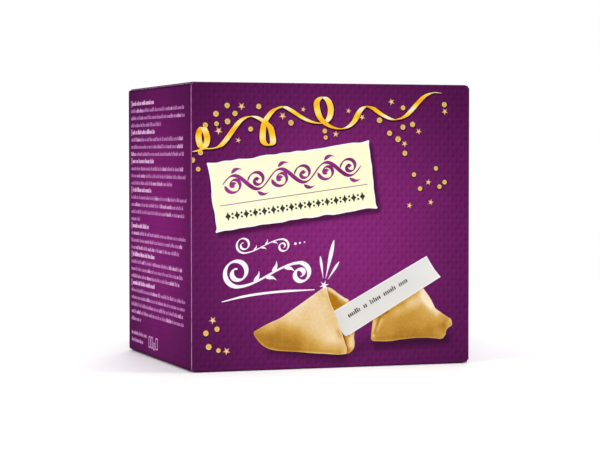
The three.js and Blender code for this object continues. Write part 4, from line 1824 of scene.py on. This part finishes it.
CLOSING_FRAMES = ((31.9, 2.0, 3.2, 5.2), (35.9, 2.0, 3.2, 5.2), (39.6, 0.6, 2.4, 3.4), (44.0, 2.0, 3.8, 5.2))
CLOSING_BAR = 0.6


def row_of_words(share, v, height, tick, draw_word, shades, start=0.0):
    """One row of ticks in words that fills a share of the full length."""
    rows, reach, end = [], start, share * ROW_LENGTH
    while reach < end - tick:
        word = min(tick * draw_word.randint(*WORD_TICKS), end - reach)
        rows += ticks(word, (ROW_LEFT + reach, v), 0.0, height, tick, draw_word, draw_word.choice(shades))
        reach += word + WORD_GAP
    return rows


def small_frame(row_v, place, bar):
    """Four bars round an empty rectangle; place is u and v from the row's start, breadth and height."""
    u, v = ROW_LEFT + place[0], row_v + place[1]
    broad, tall = place[2:]
    sides = [(u + side * (broad - bar) / 2, v, bar, tall, 0.0, FRAME_SHADE) for side in (-1, 1)]
    ends = [(u, v + side * (tall - bar) / 2, broad - 2 * bar, bar, 0.0, FRAME_SHADE) for side in (-1, 1)]
    return sides + ends


print(len(BLOCKS), "blocks of small print")

# %% Small print in pink
SMALL_PRINT_LIFT = 0.06
SMALL_PRINT_SEEDS = {"left": 7, "right": 8}
PINK_MOTTLE_SCALE, PINK_MOTTLE = 700.0, 0.35


def pink_ink():
    made, graph = new_material("pink_ink")
    tone = attribute(graph, "shade") + (noise(graph, PINK_MOTTLE_SCALE, 3.0) - 0.5) * PINK_MOTTLE
    pinks = [(0.0, ink(186, 118, 180)), (0.4, ink(208, 146, 202)), (1.0, ink(238, 192, 232))]
    varnish(graph, ramp(tone, pinks))
    return made


def make_small_print(panel, seed):
    draw_word = random.Random(seed)
    rows, v = [], FIRST_ROW
    for heading, shares in BLOCKS:
        rows += small_frame(v, HEAD_FRAME, HEAD_BAR)
        head = row_of_words(heading, v, HEAD_HEIGHT, HEAD_TICK, draw_word, HEAD_SHADES, HEAD_START)
        rows += (np.array(head) * (1, 1, HEAD_WEIGHT, 1, 1, 1)).tolist()
        for share in shares:
            v -= ROW_PITCH
            rows += row_of_words(share, v, SMALL_HEIGHT, SMALL_TICK, draw_word, SMALL_SHADES)
        v -= ROW_PITCH
    for share in CLOSING_ROWS:
        v -= ROW_PITCH
        rows += row_of_words(share, v, CLOSING_HEIGHT, SMALL_TICK, draw_word, CLOSING_SHADES)
    for place in CLOSING_FRAMES:
        rows += small_frame(v, place, CLOSING_BAR)
    stamp(f"small_print_{panel}", rows, panel, PINK_INK, "white_print", BAR_TREE, Lift=SMALL_PRINT_LIFT)


PINK_INK = pink_ink()
for panel, seed in SMALL_PRINT_SEEDS.items():
    make_small_print(panel, seed)
